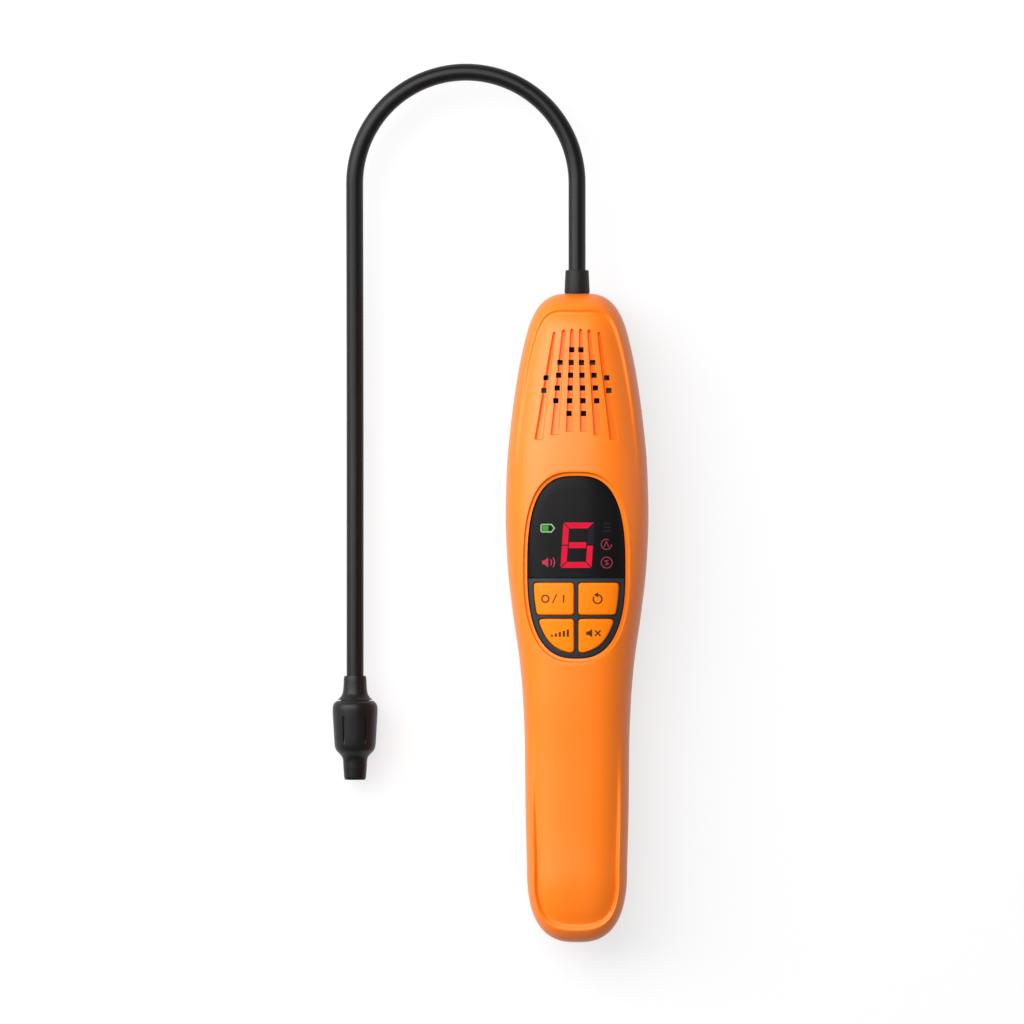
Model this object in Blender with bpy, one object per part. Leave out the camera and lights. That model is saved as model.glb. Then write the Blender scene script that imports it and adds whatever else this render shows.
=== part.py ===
"""Handheld refrigerant leak detector, lying on its back.

The housing is two moulded shells, split at one level. Its front face is a dome inside a raised edge that fades out
at mid length, with a fan of grooves at the head and an oval panel that holds a window and four keys. A gooseneck
leaves the head, bends over by half a turn and carries the probe, which rests on the ground beside the handle.

Frame: +X to the right of the front face, +Y towards the neck, +Z out of the front face. The origin is on the flat
back, on the middle plane.
"""

import math

import bmesh
import bpy
from mathutils import Matrix, Vector

MM = 0.001

# Clearances
SEAT_GAP = 0.3 * MM
MERGE = 1e-7

# Sides of round shapes
SIDES_SMALL = 10
SIDES_MIDDLE = 16
SIDES_LARGE = 24

# Cells: four of a standard size, whose head ends stay in place
WALL = 2.2 * MM
CELL_RADIUS = 5.25 * MM
CELL_LENGTH = 44.5 * MM
CELL_NUB_RADIUS = 1.9 * MM
CELL_NUB_TALL = 1.0 * MM
CELL_SIDE_GAP = 0.7 * MM
CELL_LAYER_GAP = 0.3 * MM
CELL_SEAT = 0.25 * MM
CELL_HEAD_Y = -34.1 * MM
CELL_END_Y = CELL_HEAD_Y - CELL_LENGTH
CELL_PITCH = 2 * CELL_RADIUS + CELL_SIDE_GAP
CELL_LEVEL_LOW = WALL + CELL_SEAT + CELL_RADIUS
CELL_LEVEL_HIGH = CELL_LEVEL_LOW + 2 * CELL_RADIUS + CELL_LAYER_GAP
CELL_LEVELS = (CELL_LEVEL_LOW, CELL_LEVEL_HIGH)
CELLS_HALF_WIDTH = CELL_PITCH / 2 + CELL_RADIUS

# The tray that holds the cells
TRAY_WALL = 1.05 * MM
TRAY_END_ROOM = 1.75 * MM
TRAY_TOP_GAP = 0.2 * MM
TRAY_SHOULDER_WIDE = 2.95 * MM
TRAY_SHOULDER_TALL = 3.55 * MM
TRAY_FOOT_DROP = 1.2 * MM

# Housing outline: the handle closes round the tray, the sides swell out from it, and each end has a rounded cap
HANDLE_SIDE_ROOM = 1.4 * MM
HANDLE_TOP_ROOM = 1.9 * MM
HANDLE_HALF_WIDTH = CELLS_HALF_WIDTH + SEAT_GAP + TRAY_WALL + HANDLE_SIDE_ROOM + WALL
HANDLE_CAP_Y = CELL_END_Y + 0.6 * MM
HANDLE_CAP_LENGTH = 24.4 * MM
HOUSING_BOTTOM_Y = HANDLE_CAP_Y - HANDLE_CAP_LENGTH
HOUSING_TOP_Y = 102.0 * MM
HEAD_CAP_LENGTH = 18.0 * MM
HEAD_CAP_Y = HOUSING_TOP_Y - HEAD_CAP_LENGTH
HEAD_CAP_POWER = 3.5
HANDLE_CAP_POWER = 2.65
HEAD_FLARE = -0.235
SIDE_SWELL_MM = (
    (-78.0, 0.0), (-60.0, 0.45), (-40.0, 0.65), (-25.0, 1.25), (-13.5, 2.3), (1.6, 4.45),
    (16.7, 6.1), (31.8, 6.7), (46.9, 6.3), (62.0, 4.9), (77.0, 2.75), (84.0, 1.35),
)
CAP_STEPS = 7
SIDE_STEPS = 14

# Housing heights: the front's middle line over the parting level, as a rise over the handle's own height
PART_LEVEL = 17.0 * MM
SINK_HEAD = 1.3 * MM
SINK_HANDLE = 1.5 * MM
HANDLE_TRAY_TOP = CELL_LEVEL_HIGH + CELL_RADIUS + TRAY_TOP_GAP + TRAY_WALL
HANDLE_HEIGHT = HANDLE_TRAY_TOP + HANDLE_TOP_ROOM + WALL + SINK_HANDLE - PART_LEVEL
FRONT_SWELL_MM = (
    (-103.0, -1.0), (-80.0, 0.0), (-45.0, 0.6), (-20.0, 2.6), (10.0, 5.1), (45.0, 5.4), (80.0, 3.8), (103.0, 1.8),
)
FRONT_POWER = 2.6
BACK_FLAT_DEPTH = 0.8 * MM
BACK_BULGE = PART_LEVEL + BACK_FLAT_DEPTH
BACK_POWER = 3.5

# Raised edge round the front face
RIM_SIDE = 2.5 * MM
RIM_HEAD = 5.2 * MM
RIM_HANDLE = 3.9 * MM
RIM_WALL_SIDE = 1.6 * MM
RIM_WALL_END = 2.6 * MM
SINK_HEAD_FROM = 22.0 * MM
SINK_HANDLE_FROM = -28.0 * MM
OUTER_RINGS = (0.0, 0.06, 0.22, 0.55, 1.0)
FACE_RINGS = (0.0, 0.18, 0.42, 0.7, 1.0)
BACK_RINGS = (0.0, 0.05, 0.2, 0.5, 1.0)
INSIDE_OUTER_RINGS = (0.0, 0.12, 0.45, 1.0)
INSIDE_FACE_RINGS = (0.0, 0.14, 0.36, 0.65, 1.0)
INSIDE_BACK_RINGS = (0.0, 0.15, 0.5, 1.0)

# Levels clear of the whole housing, which the cutters reach to
CLEAR_ABOVE = PART_LEVEL + HANDLE_HEIGHT + max(rise for _, rise in FRONT_SWELL_MM) * MM + WALL
CLEAR_BELOW = -WALL

# Oval panel in the front face
OVAL_Y = 14.5 * MM
OVAL_HALF_WIDTH = 15.4 * MM
OVAL_UP = 29.9 * MM
OVAL_DOWN = 27.4 * MM
OVAL_UP_POWER = 2.8
OVAL_DOWN_POWER = 2.55
OVAL_STEPS = 9
OVAL_CHAMFER = 1.1 * MM
OVAL_BRIM = 0.02 * MM
PANEL_SINK = 1.1 * MM
PANEL_BACK = 0.6 * MM
FLANGE_THICK = 0.9 * MM
FLANGE_REACH = 1.5 * MM
FLANGE_INNER = 1.2 * MM
PANEL_SPLIT_Y = 12.4 * MM

# Keys
KEY_COLUMN_GAP = 1.48 * MM
KEY_TOP_GAP = 1.53 * MM
KEY_TOP_Y = PANEL_SPLIT_Y - KEY_TOP_GAP
KEY_MIDDLE_Y = 0.2 * MM
KEY_ROW_GAP = 1.35 * MM
KEY_MARGIN = 2.0 * MM
KEY_CORNER = 0.9 * MM
KEY_TIP_X = 2.6 * MM
KEY_SINK = 0.5 * MM
KEY_LIP = 0.45 * MM
KEY_LIP_THICK = 0.8 * MM
KEY_TRAVEL = 0.5 * MM
KEY_POST_RADIUS = 1.6 * MM
KEY_POST_X = 6.3 * MM
KEY_POST_UPPER_Y = KEY_MIDDLE_Y + 5.7 * MM
KEY_POST_LOWER_Y = KEY_MIDDLE_Y - 5.1 * MM
KEY_SIDE_STEPS = 5

# Fan grille: inner and outer edge of each groove at its top and its bottom, as offsets from the middle, and how far
# below the head's end the groove's top, its bottom and its holes lie
GRILLE_FAN_MM = (
    ((0.91, 1.83), (1.26, 3.18), 11.9, 43.7),
    ((3.50, 4.52), (5.54, 7.99), 12.2, 44.7),
    ((6.55, 7.48), (10.55, 13.07), 12.85, 46.2),
)
GRILLE_HOLE_ROWS_MM = ((18.0, 22.0, 26.0, 30.0, 34.0, 38.0), (22.0, 26.0, 30.0, 34.0), (26.8, 30.8))
GRILLE_DEPTH = 0.9 * MM
GRILLE_END_DEPTH = 0.6 * MM
GRILLE_STEPS = 4
GRILLE_HOLE_TALL = 1.5 * MM
GRILLE_HOLE_MARGIN = 0.1 * MM

# Circuit board and what stands on it
BOARD_RISE = 7.8 * MM
BOARD_TOP = PART_LEVEL + BOARD_RISE
BOARD_THICK = 1.6 * MM
BOARD_SIDE_ROOM = 2.2 * MM
BOARD_Y = (-13.0 * MM, HOUSING_TOP_Y - 22.0 * MM)
BOARD_CORNER = 1.5 * MM
BOARD_SCREW_INSET = 2.5 * MM
BOARD_SCREW_Y = (BOARD_Y[0] + 3.5 * MM, BOARD_Y[1] - 4.0 * MM)
BOARD_SCREW_RADIUS = 1.0 * MM
BOARD_SCREW_HEAD = 1.9 * MM
BOARD_SCREW_HEAD_TALL = 1.3 * MM
BOARD_SCREW_LENGTH = 7.0 * MM
POST_RADIUS = 2.5 * MM
SWITCH_SIDE = 6.0 * MM
SWITCH_BODY_TALL = 3.5 * MM
SWITCH_BUTTON_RADIUS = 1.7 * MM
SWITCH_BUTTON_TALL = 0.8 * MM
DIGIT_MODULE = (12.6 * MM, 19.0 * MM, 6.4 * MM)
DIGIT_MODULE_Y = 22.7 * MM
SOUNDER_RADIUS = 9.0 * MM
SOUNDER_HOLE_RADIUS = 1.5 * MM
SOUNDER_HOLE_DEPTH = 1.0 * MM
SOUNDER_TALL = 4.4 * MM
SOUNDER_Y = BOARD_Y[1] - SOUNDER_RADIUS
CHIP = (7.5 * MM, 10.3 * MM, 2.3 * MM)
CHIP_Y = (DIGIT_MODULE_Y + DIGIT_MODULE[1] / 2 + SOUNDER_Y - SOUNDER_RADIUS) / 2
CONNECTOR = (7.5 * MM, 5.0 * MM, 5.5 * MM)
CONNECTOR_X = -8.0 * MM
CONNECTOR_Y = DIGIT_MODULE_Y + (DIGIT_MODULE[1] + CONNECTOR[1]) / 2 + 3.0 * MM
PACKAGE_EDGE = 0.3 * MM
PACKAGE_TOP_EDGE = 0.5 * MM

# Housing screws, put in from the back
HEAD_SCREW_AT = (8.8 * MM, HOUSING_TOP_Y - 17.0 * MM)
HANDLE_SCREW_AT = (9.2 * MM, -24.0 * MM)
SCREW_RADIUS = 1.1 * MM
SCREW_HEAD_RADIUS = 2.4 * MM
SCREW_HEAD_TALL = 1.9 * MM
SCREW_SLOT_RADIUS = 0.9 * MM
SCREW_SLOT_DEPTH = 1.0 * MM
SCREW_POINT = 1.0 * MM
SCREW_SEAT = 9.0 * MM
SCREW_BITE = 8.0 * MM
SCREW_REACH = PART_LEVEL + SCREW_BITE
BACK_BOSS_RADIUS = 3.5 * MM
FRONT_BOSS_RADIUS = 3.2 * MM
BOSS_ROOT = 2.0 * MM

# Contact plates and battery door
CELL_EDGE = 0.5 * MM
CONTACT_THICK = 0.4 * MM
CONTACT_HALF_WIDTH = CELLS_HALF_WIDTH - 0.45 * MM
CONTACT_LEVELS = (CELL_LEVEL_LOW - 4.3 * MM, CELL_LEVEL_HIGH + 2.2 * MM)
SPRING_BASE_RADIUS = 3.2 * MM
SPRING_TIP_RADIUS = 2.0 * MM
DOOR_HALF_WIDTH = CELLS_HALF_WIDTH + SEAT_GAP / 2
DOOR_Y = (CELL_END_Y - 2.9 * MM, CELL_HEAD_Y + 1.6 * MM)
DOOR_CORNER = 4.0 * MM
DOOR_SINK = 0.15 * MM
DOOR_THICK = 1.9 * MM
DOOR_GRIP_RIDGES = 5
DOOR_GRIP_PITCH = 2.2 * MM
DOOR_GRIP_HALF_WIDTH = 5.0 * MM
DOOR_GRIP_Y = DOOR_Y[0] + 5.5 * MM
DOOR_GRIP_DEPTH = 0.6 * MM

# Collar and gooseneck
NECK_RADIUS = 2.7 * MM
COLLAR_BASE_RADIUS = 4.0 * MM
COLLAR_TIP_RADIUS = 3.67 * MM
COLLAR_TIP_EDGE = 0.3 * MM
COLLAR_LENGTH = 7.3 * MM
COLLAR_TIP_Y = HOUSING_TOP_Y + COLLAR_LENGTH
COLLAR_STEP = 0.1 * MM
COLLAR_FLANGE_RADIUS = 5.0 * MM
COLLAR_FLANGE_DROP = 0.9 * MM
COLLAR_FLANGE_THICK = 2.0 * MM
NECK_TAIL = 2.5 * MM
NECK_SPAN = 70.3 * MM
NECK_ARC_Y = HOUSING_TOP_Y + 34.6 * MM
NECK_LEVEL_Y = 45.0 * MM
NECK_RISE_STEPS = 3
NECK_ARC_STEPS = 20
NECK_DROP_STEPS = 16
NECK_SIDE_STEPS = 3

# Probe head: radius at stations along its axis
PROBE_SOCKET_MM = (
    (3.42, -18.7), (3.6, -19.8), (3.68, -21.7), (3.86, -23.6), (4.17, -24.6), (4.77, -25.5), (5.55, -26.3),
)
PROBE_CAP_MM = (
    (5.87, -26.6), (6.71, -27.4), (7.06, -28.4), (7.13, -29.3), (7.07, -31.2), (6.84, -35.0), (6.55, -39.8),
    (6.24, -41.6), (5.72, -42.5), (4.76, -43.5), (4.10, -44.4), (3.83, -45.4), (3.73, -47.3), (3.59, -49.1),
    (3.42, -51.0), (3.1, -51.5),
)
PROBE_LEVEL = max(radius for radius, _ in PROBE_CAP_MM) * MM
NECK_SEAT = 3.3 * MM
NECK_END_Y = PROBE_SOCKET_MM[0][1] * MM - NECK_SEAT
SPIGOT_RADIUS = 4.6 * MM
CAP_ROOM_END_Y = -41.2 * MM
NOZZLE_BORE_RADIUS = 2.3 * MM
NOZZLE_TAPER = 2.4 * MM
GRIP_COUNT = 6
GRIP_HALF_WIDTH = 0.5 * MM
GRIP_DEPTH = 0.4 * MM
GRIP_Y = (-40.3 * MM, -31.2 * MM)
SENSOR_RADIUS = SPIGOT_RADIUS - 0.5 * MM
SENSOR_EDGE = 0.4 * MM
SENSOR_LENGTH = 5.2 * MM
FILTER_THICK = 1.2 * MM
FILTER_ROOM = 1.2 * MM
SPIGOT_END_Y = CAP_ROOM_END_Y + FILTER_ROOM + FILTER_THICK + SENSOR_LENGTH + 2 * SEAT_GAP

# Surface finishes: colour, roughness, metallic
FINISHES = {
    "orange_shell": ((0.84, 0.22, 0.045), 0.42, 0.0),
    "orange_key": ((0.90, 0.24, 0.02), 0.4, 0.0),
    "dark_window": ((0.012, 0.012, 0.013), 0.12, 0.0),
    "dark_bezel": ((0.024, 0.034, 0.04), 0.5, 0.0),
    "black_collar": ((0.02, 0.02, 0.019), 0.5, 0.0),
    "black_sleeve": ((0.018, 0.018, 0.018), 0.35, 0.0),
    "black_probe": ((0.014, 0.014, 0.014), 0.42, 0.0),
    "board_green": ((0.01, 0.12, 0.04), 0.45, 0.0),
    "black_resin": ((0.015, 0.015, 0.016), 0.55, 0.0),
    "plated_steel": ((0.62, 0.62, 0.6), 0.3, 1.0),
    "cell_jacket": ((0.03, 0.05, 0.14), 0.35, 0.0),
    "tray_plastic": ((0.03, 0.03, 0.03), 0.55, 0.0),
    "white_felt": ((0.8, 0.79, 0.75), 0.95, 0.0),
}


def clear_scene():
    for old in list(bpy.data.objects):
        bpy.data.objects.remove(old)


def finish_of(name):
    """The material of one surface finish, made once."""
    found = bpy.data.materials.get(name)
    if found:
        return found
    colour, roughness, metallic = FINISHES[name]
    made = bpy.data.materials.new(name)
    made.use_nodes = True
    shader = made.node_tree.nodes["Principled BSDF"]
    shader.inputs["Base Color"].default_value = (*colour, 1.0)
    shader.inputs["Roughness"].default_value = roughness
    shader.inputs["Metallic"].default_value = metallic
    made.diffuse_color = (*colour, 1.0)
    return made


def piece(name, bm, finish=None, helper=False):
    """An object from a bmesh, which is freed. A helper is a cutter or a shape that another piece takes in."""
    bmesh.ops.remove_doubles(bm, verts=bm.verts, dist=MERGE)
    bmesh.ops.recalc_face_normals(bm, faces=bm.faces)
    bmesh.ops.triangulate(bm, faces=bm.faces)
    mesh = bpy.data.meshes.new(name)
    bm.to_mesh(mesh)
    bm.free()
    made = bpy.data.objects.new(name, mesh)
    bpy.context.scene.collection.objects.link(made)
    if finish:
        mesh.materials.append(finish_of(finish))
        mesh.shade_smooth()
        mesh.set_sharp_from_angle(angle=math.radians(35))
    if helper:
        made.hide_render = True
        made.display_type = "WIRE"
    return made


def combine(target, other, operation):
    """Adds a Boolean to the target. The other object becomes a helper."""
    other.hide_render = True
    other.display_type = "WIRE"
    step = target.modifiers.new(f"{operation.lower()}_{other.name}", "BOOLEAN")
    step.operation = operation
    step.solver = "EXACT"
    step.object = other


def cut(target, *others):
    for other in others:
        combine(target, other, "DIFFERENCE")


def join(target, *others):
    for other in others:
        combine(target, other, "UNION")


def smooth_value(stations_mm, y):
    """A smooth curve through the stations, which never swings past them."""
    places = [place * MM for place, _ in stations_mm]
    values = [value * MM for _, value in stations_mm]
    if y <= places[0]:
        return values[0]
    if y >= places[-1]:
        return values[-1]
    slopes = [(values[i + 1] - values[i]) / (places[i + 1] - places[i]) for i in range(len(places) - 1)]
    tangents = [slopes[0]]
    for before, after in zip(slopes, slopes[1:]):
        same_way = before * after > 0
        tangents.append(2 * before * after / (before + after) if same_way else 0.0)
    tangents.append(slopes[-1])
    k = max(i for i in range(len(slopes)) if places[i] <= y)
    span = places[k + 1] - places[k]
    t = (y - places[k]) / span
    return (
        values[k] * (1 + 2 * t) * (1 - t) ** 2
        + tangents[k] * span * t * (1 - t) ** 2
        + values[k + 1] * t * t * (3 - 2 * t)
        + tangents[k + 1] * span * t * t * (t - 1)
    )


def smooth_step(x):
    t = min(max(x, 0.0), 1.0)
    return t * t * (3 - 2 * t)


def rounded_power(fraction, power):
    """Height of a superellipse at a fraction of the way from its edge to its middle."""
    return (1 - (1 - min(max(fraction, 0.0), 1.0)) ** power) ** (1 / power)


def half_width(y):
    return HANDLE_HALF_WIDTH + smooth_value(SIDE_SWELL_MM, y)


def front_height(y):
    return HANDLE_HEIGHT + smooth_value(FRONT_SWELL_MM, y)


def face_sink(y):
    """How far the front face lies below its raised edge: none at mid length, most at both ends."""
    head = SINK_HEAD * smooth_step((y - SINK_HEAD_FROM) / (HEAD_CAP_Y - SINK_HEAD_FROM))
    handle = SINK_HANDLE * smooth_step((SINK_HANDLE_FROM - y) / (SINK_HANDLE_FROM - HANDLE_CAP_Y))
    return head + handle


def front_level(x, y):
    """Height of the front face at a point inside the raised edge, between the two end caps."""
    fraction = 1 - abs(x) / half_width(y)
    return PART_LEVEL + front_height(y) * rounded_power(fraction, FRONT_POWER) - face_sink(y)


def inside_level(x, y):
    """Height of the front shell's inner surface."""
    fraction = 1 - abs(x) / (half_width(y) - WALL)
    return PART_LEVEL + (front_height(y) - WALL) * rounded_power(fraction, FRONT_POWER) - face_sink(y)


def back_level(x, y):
    fraction = 1 - abs(x) / half_width(y)
    return max(PART_LEVEL - BACK_BULGE * rounded_power(fraction, BACK_POWER), 0.0)


def housing_loop(inset=0.0):
    """Points of the housing's outline as seen from the front, anticlockwise from the middle of the handle's end."""
    right = []
    for i in range(CAP_STEPS):
        angle = math.radians(90) * (1 - i / CAP_STEPS)
        across = half_width(HANDLE_CAP_Y) * math.cos(angle) ** (2 / HANDLE_CAP_POWER)
        along = (HANDLE_CAP_Y - HOUSING_BOTTOM_Y) * math.sin(angle) ** (2 / HANDLE_CAP_POWER)
        right.append(Vector((across if i else 0.0, HANDLE_CAP_Y - along)))
    for i in range(SIDE_STEPS + 1):
        y = HANDLE_CAP_Y + (HEAD_CAP_Y - HANDLE_CAP_Y) * i / SIDE_STEPS
        right.append(Vector((half_width(y), y)))
    for i in range(1, CAP_STEPS + 1):
        angle = math.radians(90) * i / CAP_STEPS
        along = (HOUSING_TOP_Y - HEAD_CAP_Y) * math.sin(angle) ** (2 / HEAD_CAP_POWER)
        side = half_width(HEAD_CAP_Y) + HEAD_FLARE * along
        across = side * math.cos(angle) ** (2 / HEAD_CAP_POWER)
        right.append(Vector((across if i < CAP_STEPS else 0.0, HEAD_CAP_Y + along)))
    loop = right + [Vector((-p.x, p.y)) for p in reversed(right[1:-1])]
    normals = loop_normals(loop)
    return [p + n * inset for p, n in zip(loop, normals)], normals


def loop_normals(loop):
    """Inward unit normals of a closed anticlockwise loop."""
    normals = []
    for i in range(len(loop)):
        along = loop[(i + 1) % len(loop)] - loop[i - 1]
        normals.append(Vector((-along.y, along.x)).normalized())
    return normals


def spine_point(point):
    return Vector((0.0, min(max(point.y, HANDLE_CAP_Y), HEAD_CAP_Y)))


def rim_inset(point, normal):
    """Width of the band outside the raised edge's crest: narrow along the sides, wide at the ends."""
    end = RIM_HEAD if point.y > OVAL_Y else RIM_HANDLE
    return RIM_SIDE + (end - RIM_SIDE) * normal.y ** 2


def rim_wall(normal):
    """Width of the slope inside the crest, from the raised edge down to the face: widest at the ends."""
    return RIM_WALL_SIDE + (RIM_WALL_END - RIM_WALL_SIDE) * normal.y ** 2


def front_rings(inset, outer_shares, face_shares):
    """Rings of the front surface from the parting level to the spine, at a depth below the outer skin."""
    loop, normals = housing_loop(inset)
    rings = []
    for share in outer_shares:
        ring = []
        for point, normal in zip(loop, normals):
            spine = spine_point(point)
            fraction = share * rim_inset(point, normal) / (spine - point).length
            place = point.lerp(spine, fraction)
            rise = (front_height(place.y) - inset) * rounded_power(fraction, FRONT_POWER)
            ring.append((place.x, place.y, PART_LEVEL + rise))
        rings.append(ring)
    for share in face_shares:
        ring = []
        for point, normal in zip(loop, normals):
            spine = spine_point(point)
            start = (rim_inset(point, normal) + rim_wall(normal)) / (spine - point).length
            fraction = start + (1 - start) * share
            place = point.lerp(spine, fraction)
            rise = (front_height(place.y) - inset) * rounded_power(fraction, FRONT_POWER) - face_sink(place.y)
            ring.append((place.x, place.y, PART_LEVEL + rise))
        rings.append(ring)
    return rings


def back_rings(inset, shares):
    """Rings of the back surface from the parting level to the spine, flat where it meets the ground."""
    loop, _ = housing_loop(inset)
    bulge = BACK_BULGE - inset
    flat_share = (PART_LEVEL - inset) / bulge
    flat_from = 1 - (1 - flat_share**BACK_POWER) ** (1 / BACK_POWER)
    rings = []
    for fraction in [share * flat_from for share in shares] + [1.0]:
        ring = []
        for point in loop:
            place = point.lerp(spine_point(point), fraction)
            level = max(PART_LEVEL - bulge * rounded_power(fraction, BACK_POWER), inset)
            ring.append((place.x, place.y, inset if fraction >= flat_from else level))
        rings.append(ring)
    return rings


def at_level(ring, level):
    return [(x, y, level) for x, y, _ in ring]


def skin(bm, rings):
    """Faces between consecutive closed rings of equally many points. It returns the rings' vertices."""
    made = [[bm.verts.new(point) for point in ring] for ring in rings]
    for lower, upper in zip(made, made[1:]):
        for i in range(len(lower)):
            j = (i + 1) % len(lower)
            bm.faces.new((lower[i], lower[j], upper[j], upper[i]))
    return made


def shell(name, outer, inner, level, finish):
    """A wall between an outer and an inner surface, closed by a flange at the parting level."""
    outer[0] = at_level(outer[0], level)
    inner[0] = at_level(inner[0], level)
    bm = bmesh.new()
    skin(bm, list(reversed(outer)) + inner)
    return piece(name, bm, finish)


def prism(name, outline, low, high, finish=None):
    """A straight prism over a plan outline."""
    bm = bmesh.new()
    rings = skin(bm, [[(p[0], p[1], low) for p in outline], [(p[0], p[1], high) for p in outline]])
    for ring in rings:
        bm.faces.new(ring)
    return piece(name, bm, finish, helper=finish is None)


def block(name, size, centre, finish=None, edge=0.0):
    bm = bmesh.new()
    place = Matrix.Translation(Vector(centre)) @ Matrix.Diagonal((*size, 1.0))
    bmesh.ops.create_cube(bm, size=1.0, matrix=place)
    if edge:
        bmesh.ops.bevel(bm, geom=bm.edges[:], offset=edge, segments=1, profile=0.5, affect="EDGES", material=-1)
    return piece(name, bm, finish, helper=finish is None)


def turned(name, profile, axis="Z", at=(0.0, 0.0, 0.0), steps=SIDES_LARGE, finish=None):
    """A turned solid. The profile is (radius, height) points, closed on the axis or into a ring."""
    bm = bmesh.new()
    verts = [bm.verts.new((radius, 0.0, height)) for radius, height in profile]
    edges = [bm.edges.new(pair) for pair in zip(verts, verts[1:])]
    if profile[0][0] > 0 and profile[-1][0] > 0:
        edges.append(bm.edges.new((verts[-1], verts[0])))
    bmesh.ops.spin(
        bm, geom=verts + edges, cent=(0, 0, 0), axis=(0, 0, 1), angle=math.tau, steps=steps, use_merge=True
    )
    turn = Matrix.Rotation(math.radians(-90), 4, "X") if axis == "Y" else Matrix.Identity(4)
    bmesh.ops.transform(bm, matrix=Matrix.Translation(Vector(at)) @ turn, verts=bm.verts)
    return piece(name, bm, finish, helper=finish is None)


def rod(name, radius, low, high, x, y, finish=None, steps=SIDES_MIDDLE):
    profile = ((0.0, low), (radius, low), (radius, high), (0.0, high))
    return turned(name, profile, at=(x, y, 0.0), steps=steps, finish=finish)


def rounded_outline(points, radius, steps=3):
    """The outline with each sharp corner replaced by an arc. Corners flatter than 30 degrees stay."""
    made = []
    for i, corner in enumerate(points):
        back = (points[i - 1] - corner).normalized()
        ahead = (points[(i + 1) % len(points)] - corner).normalized()
        inside = math.acos(min(max(back.dot(ahead), -1.0), 1.0))
        if inside > math.radians(150):
            made.append(corner)
            continue
        reach = radius / math.tan(inside / 2)
        middle = corner + (back + ahead).normalized() * (radius / math.sin(inside / 2))
        start = corner + back * reach - middle
        turn = start.angle_signed(corner + ahead * reach - middle)
        for k in range(steps + 1):
            made.append(middle + Matrix.Rotation(-turn * k / steps, 2) @ start)
    return made


def rectangle(half_x, low_y, high_y):
    return [Vector(p) for p in ((-half_x, low_y), (half_x, low_y), (half_x, high_y), (-half_x, high_y))]


def oval_half_width(y, grow=0.0):
    """Half width of the egg-shaped panel at a height."""
    reach = (OVAL_UP if y > OVAL_Y else OVAL_DOWN) + grow
    power = OVAL_UP_POWER if y > OVAL_Y else OVAL_DOWN_POWER
    share = min(abs(y - OVAL_Y) / reach, 1.0)
    return (OVAL_HALF_WIDTH + grow) * (1 - share**power) ** (1 / power)


def oval_loop(grow=0.0):
    loop = []
    for i in range(4 * OVAL_STEPS):
        angle = math.tau * i / (4 * OVAL_STEPS)
        up = math.sin(angle) > 0
        power = OVAL_UP_POWER if up else OVAL_DOWN_POWER
        reach = (OVAL_UP if up else -OVAL_DOWN) + (grow if up else -grow)
        across = math.copysign(abs(math.cos(angle)) ** (2 / power), math.cos(angle))
        along = abs(math.sin(angle)) ** (2 / power)
        loop.append(Vector(((OVAL_HALF_WIDTH + grow) * across, OVAL_Y + reach * along)))
    return loop


def domed_slab(name, reach_x, low_y, high_y, top, bottom, steps=(7, 7)):
    """A slab between two surfaces, each given as a function of the place in plan."""
    bm = bmesh.new()
    across, along = steps
    sides = []
    for level in (top, bottom):
        grid = []
        for j in range(along + 1):
            y = low_y + (high_y - low_y) * j / along
            row = [reach_x * (2 * i / across - 1) for i in range(across + 1)]
            grid.append([bm.verts.new((x, y, level(x, y))) for x in row])
        for j in range(along):
            for i in range(across):
                bm.faces.new((grid[j][i], grid[j][i + 1], grid[j + 1][i + 1], grid[j + 1][i]))
        edge = [grid[0][i] for i in range(across)] + [grid[j][across] for j in range(along)]
        edge += [grid[along][across - i] for i in range(across)] + [grid[along - j][0] for j in range(along)]
        sides.append(edge)
    for i in range(len(sides[0])):
        j = (i + 1) % len(sides[0])
        bm.faces.new((sides[0][i], sides[0][j], sides[1][j], sides[1][i]))
    return piece(name, bm, helper=True)


def below(level, depth):
    """The surface that lies at a depth below another."""
    return lambda x, y: level(x, y) - depth


def oval_slab(name, top, bottom):
    """A slab over the whole oval and its flange."""
    reach = FLANGE_REACH + SEAT_GAP
    low = OVAL_Y - OVAL_DOWN - reach
    high = OVAL_Y + OVAL_UP + reach
    return domed_slab(name, OVAL_HALF_WIDTH + reach, low, high, top, bottom)


def key_outline(side, upper):
    """Plan outline of one key: straight at the middle gaps, curved along the oval outside."""
    top = KEY_TOP_Y if upper else KEY_MIDDLE_Y - KEY_ROW_GAP / 2
    bottom = KEY_MIDDLE_Y + KEY_ROW_GAP / 2 if upper else OVAL_Y - OVAL_DOWN + KEY_MARGIN
    inner = KEY_COLUMN_GAP / 2
    points = []
    for i in range(KEY_SIDE_STEPS + 1):
        y = top + (bottom - top) * (i / KEY_SIDE_STEPS)
        points.append(Vector((max(oval_half_width(y, -KEY_MARGIN), KEY_TIP_X), y)))
    points += [Vector((inner, bottom)), Vector((inner, top))]
    return [Vector((side * p.x, p.y)) for p in points]


def grown(outline, by):
    """The outline moved outwards, or inwards where by is negative."""
    area = sum(a.x * b.y - b.x * a.y for a, b in zip(outline, outline[1:] + outline[:1]))
    outward = -1.0 if area > 0 else 1.0
    moved = []
    for i, point in enumerate(outline):
        before = (point - outline[i - 1]).normalized()
        after = (outline[(i + 1) % len(outline)] - point).normalized()
        n1 = Vector((-before.y, before.x)) * outward
        n2 = Vector((-after.y, after.x)) * outward
        middle = (n1 + n2).normalized()
        moved.append(point + middle * (by / max(middle.dot(n1), 0.3)))
    return moved


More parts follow.
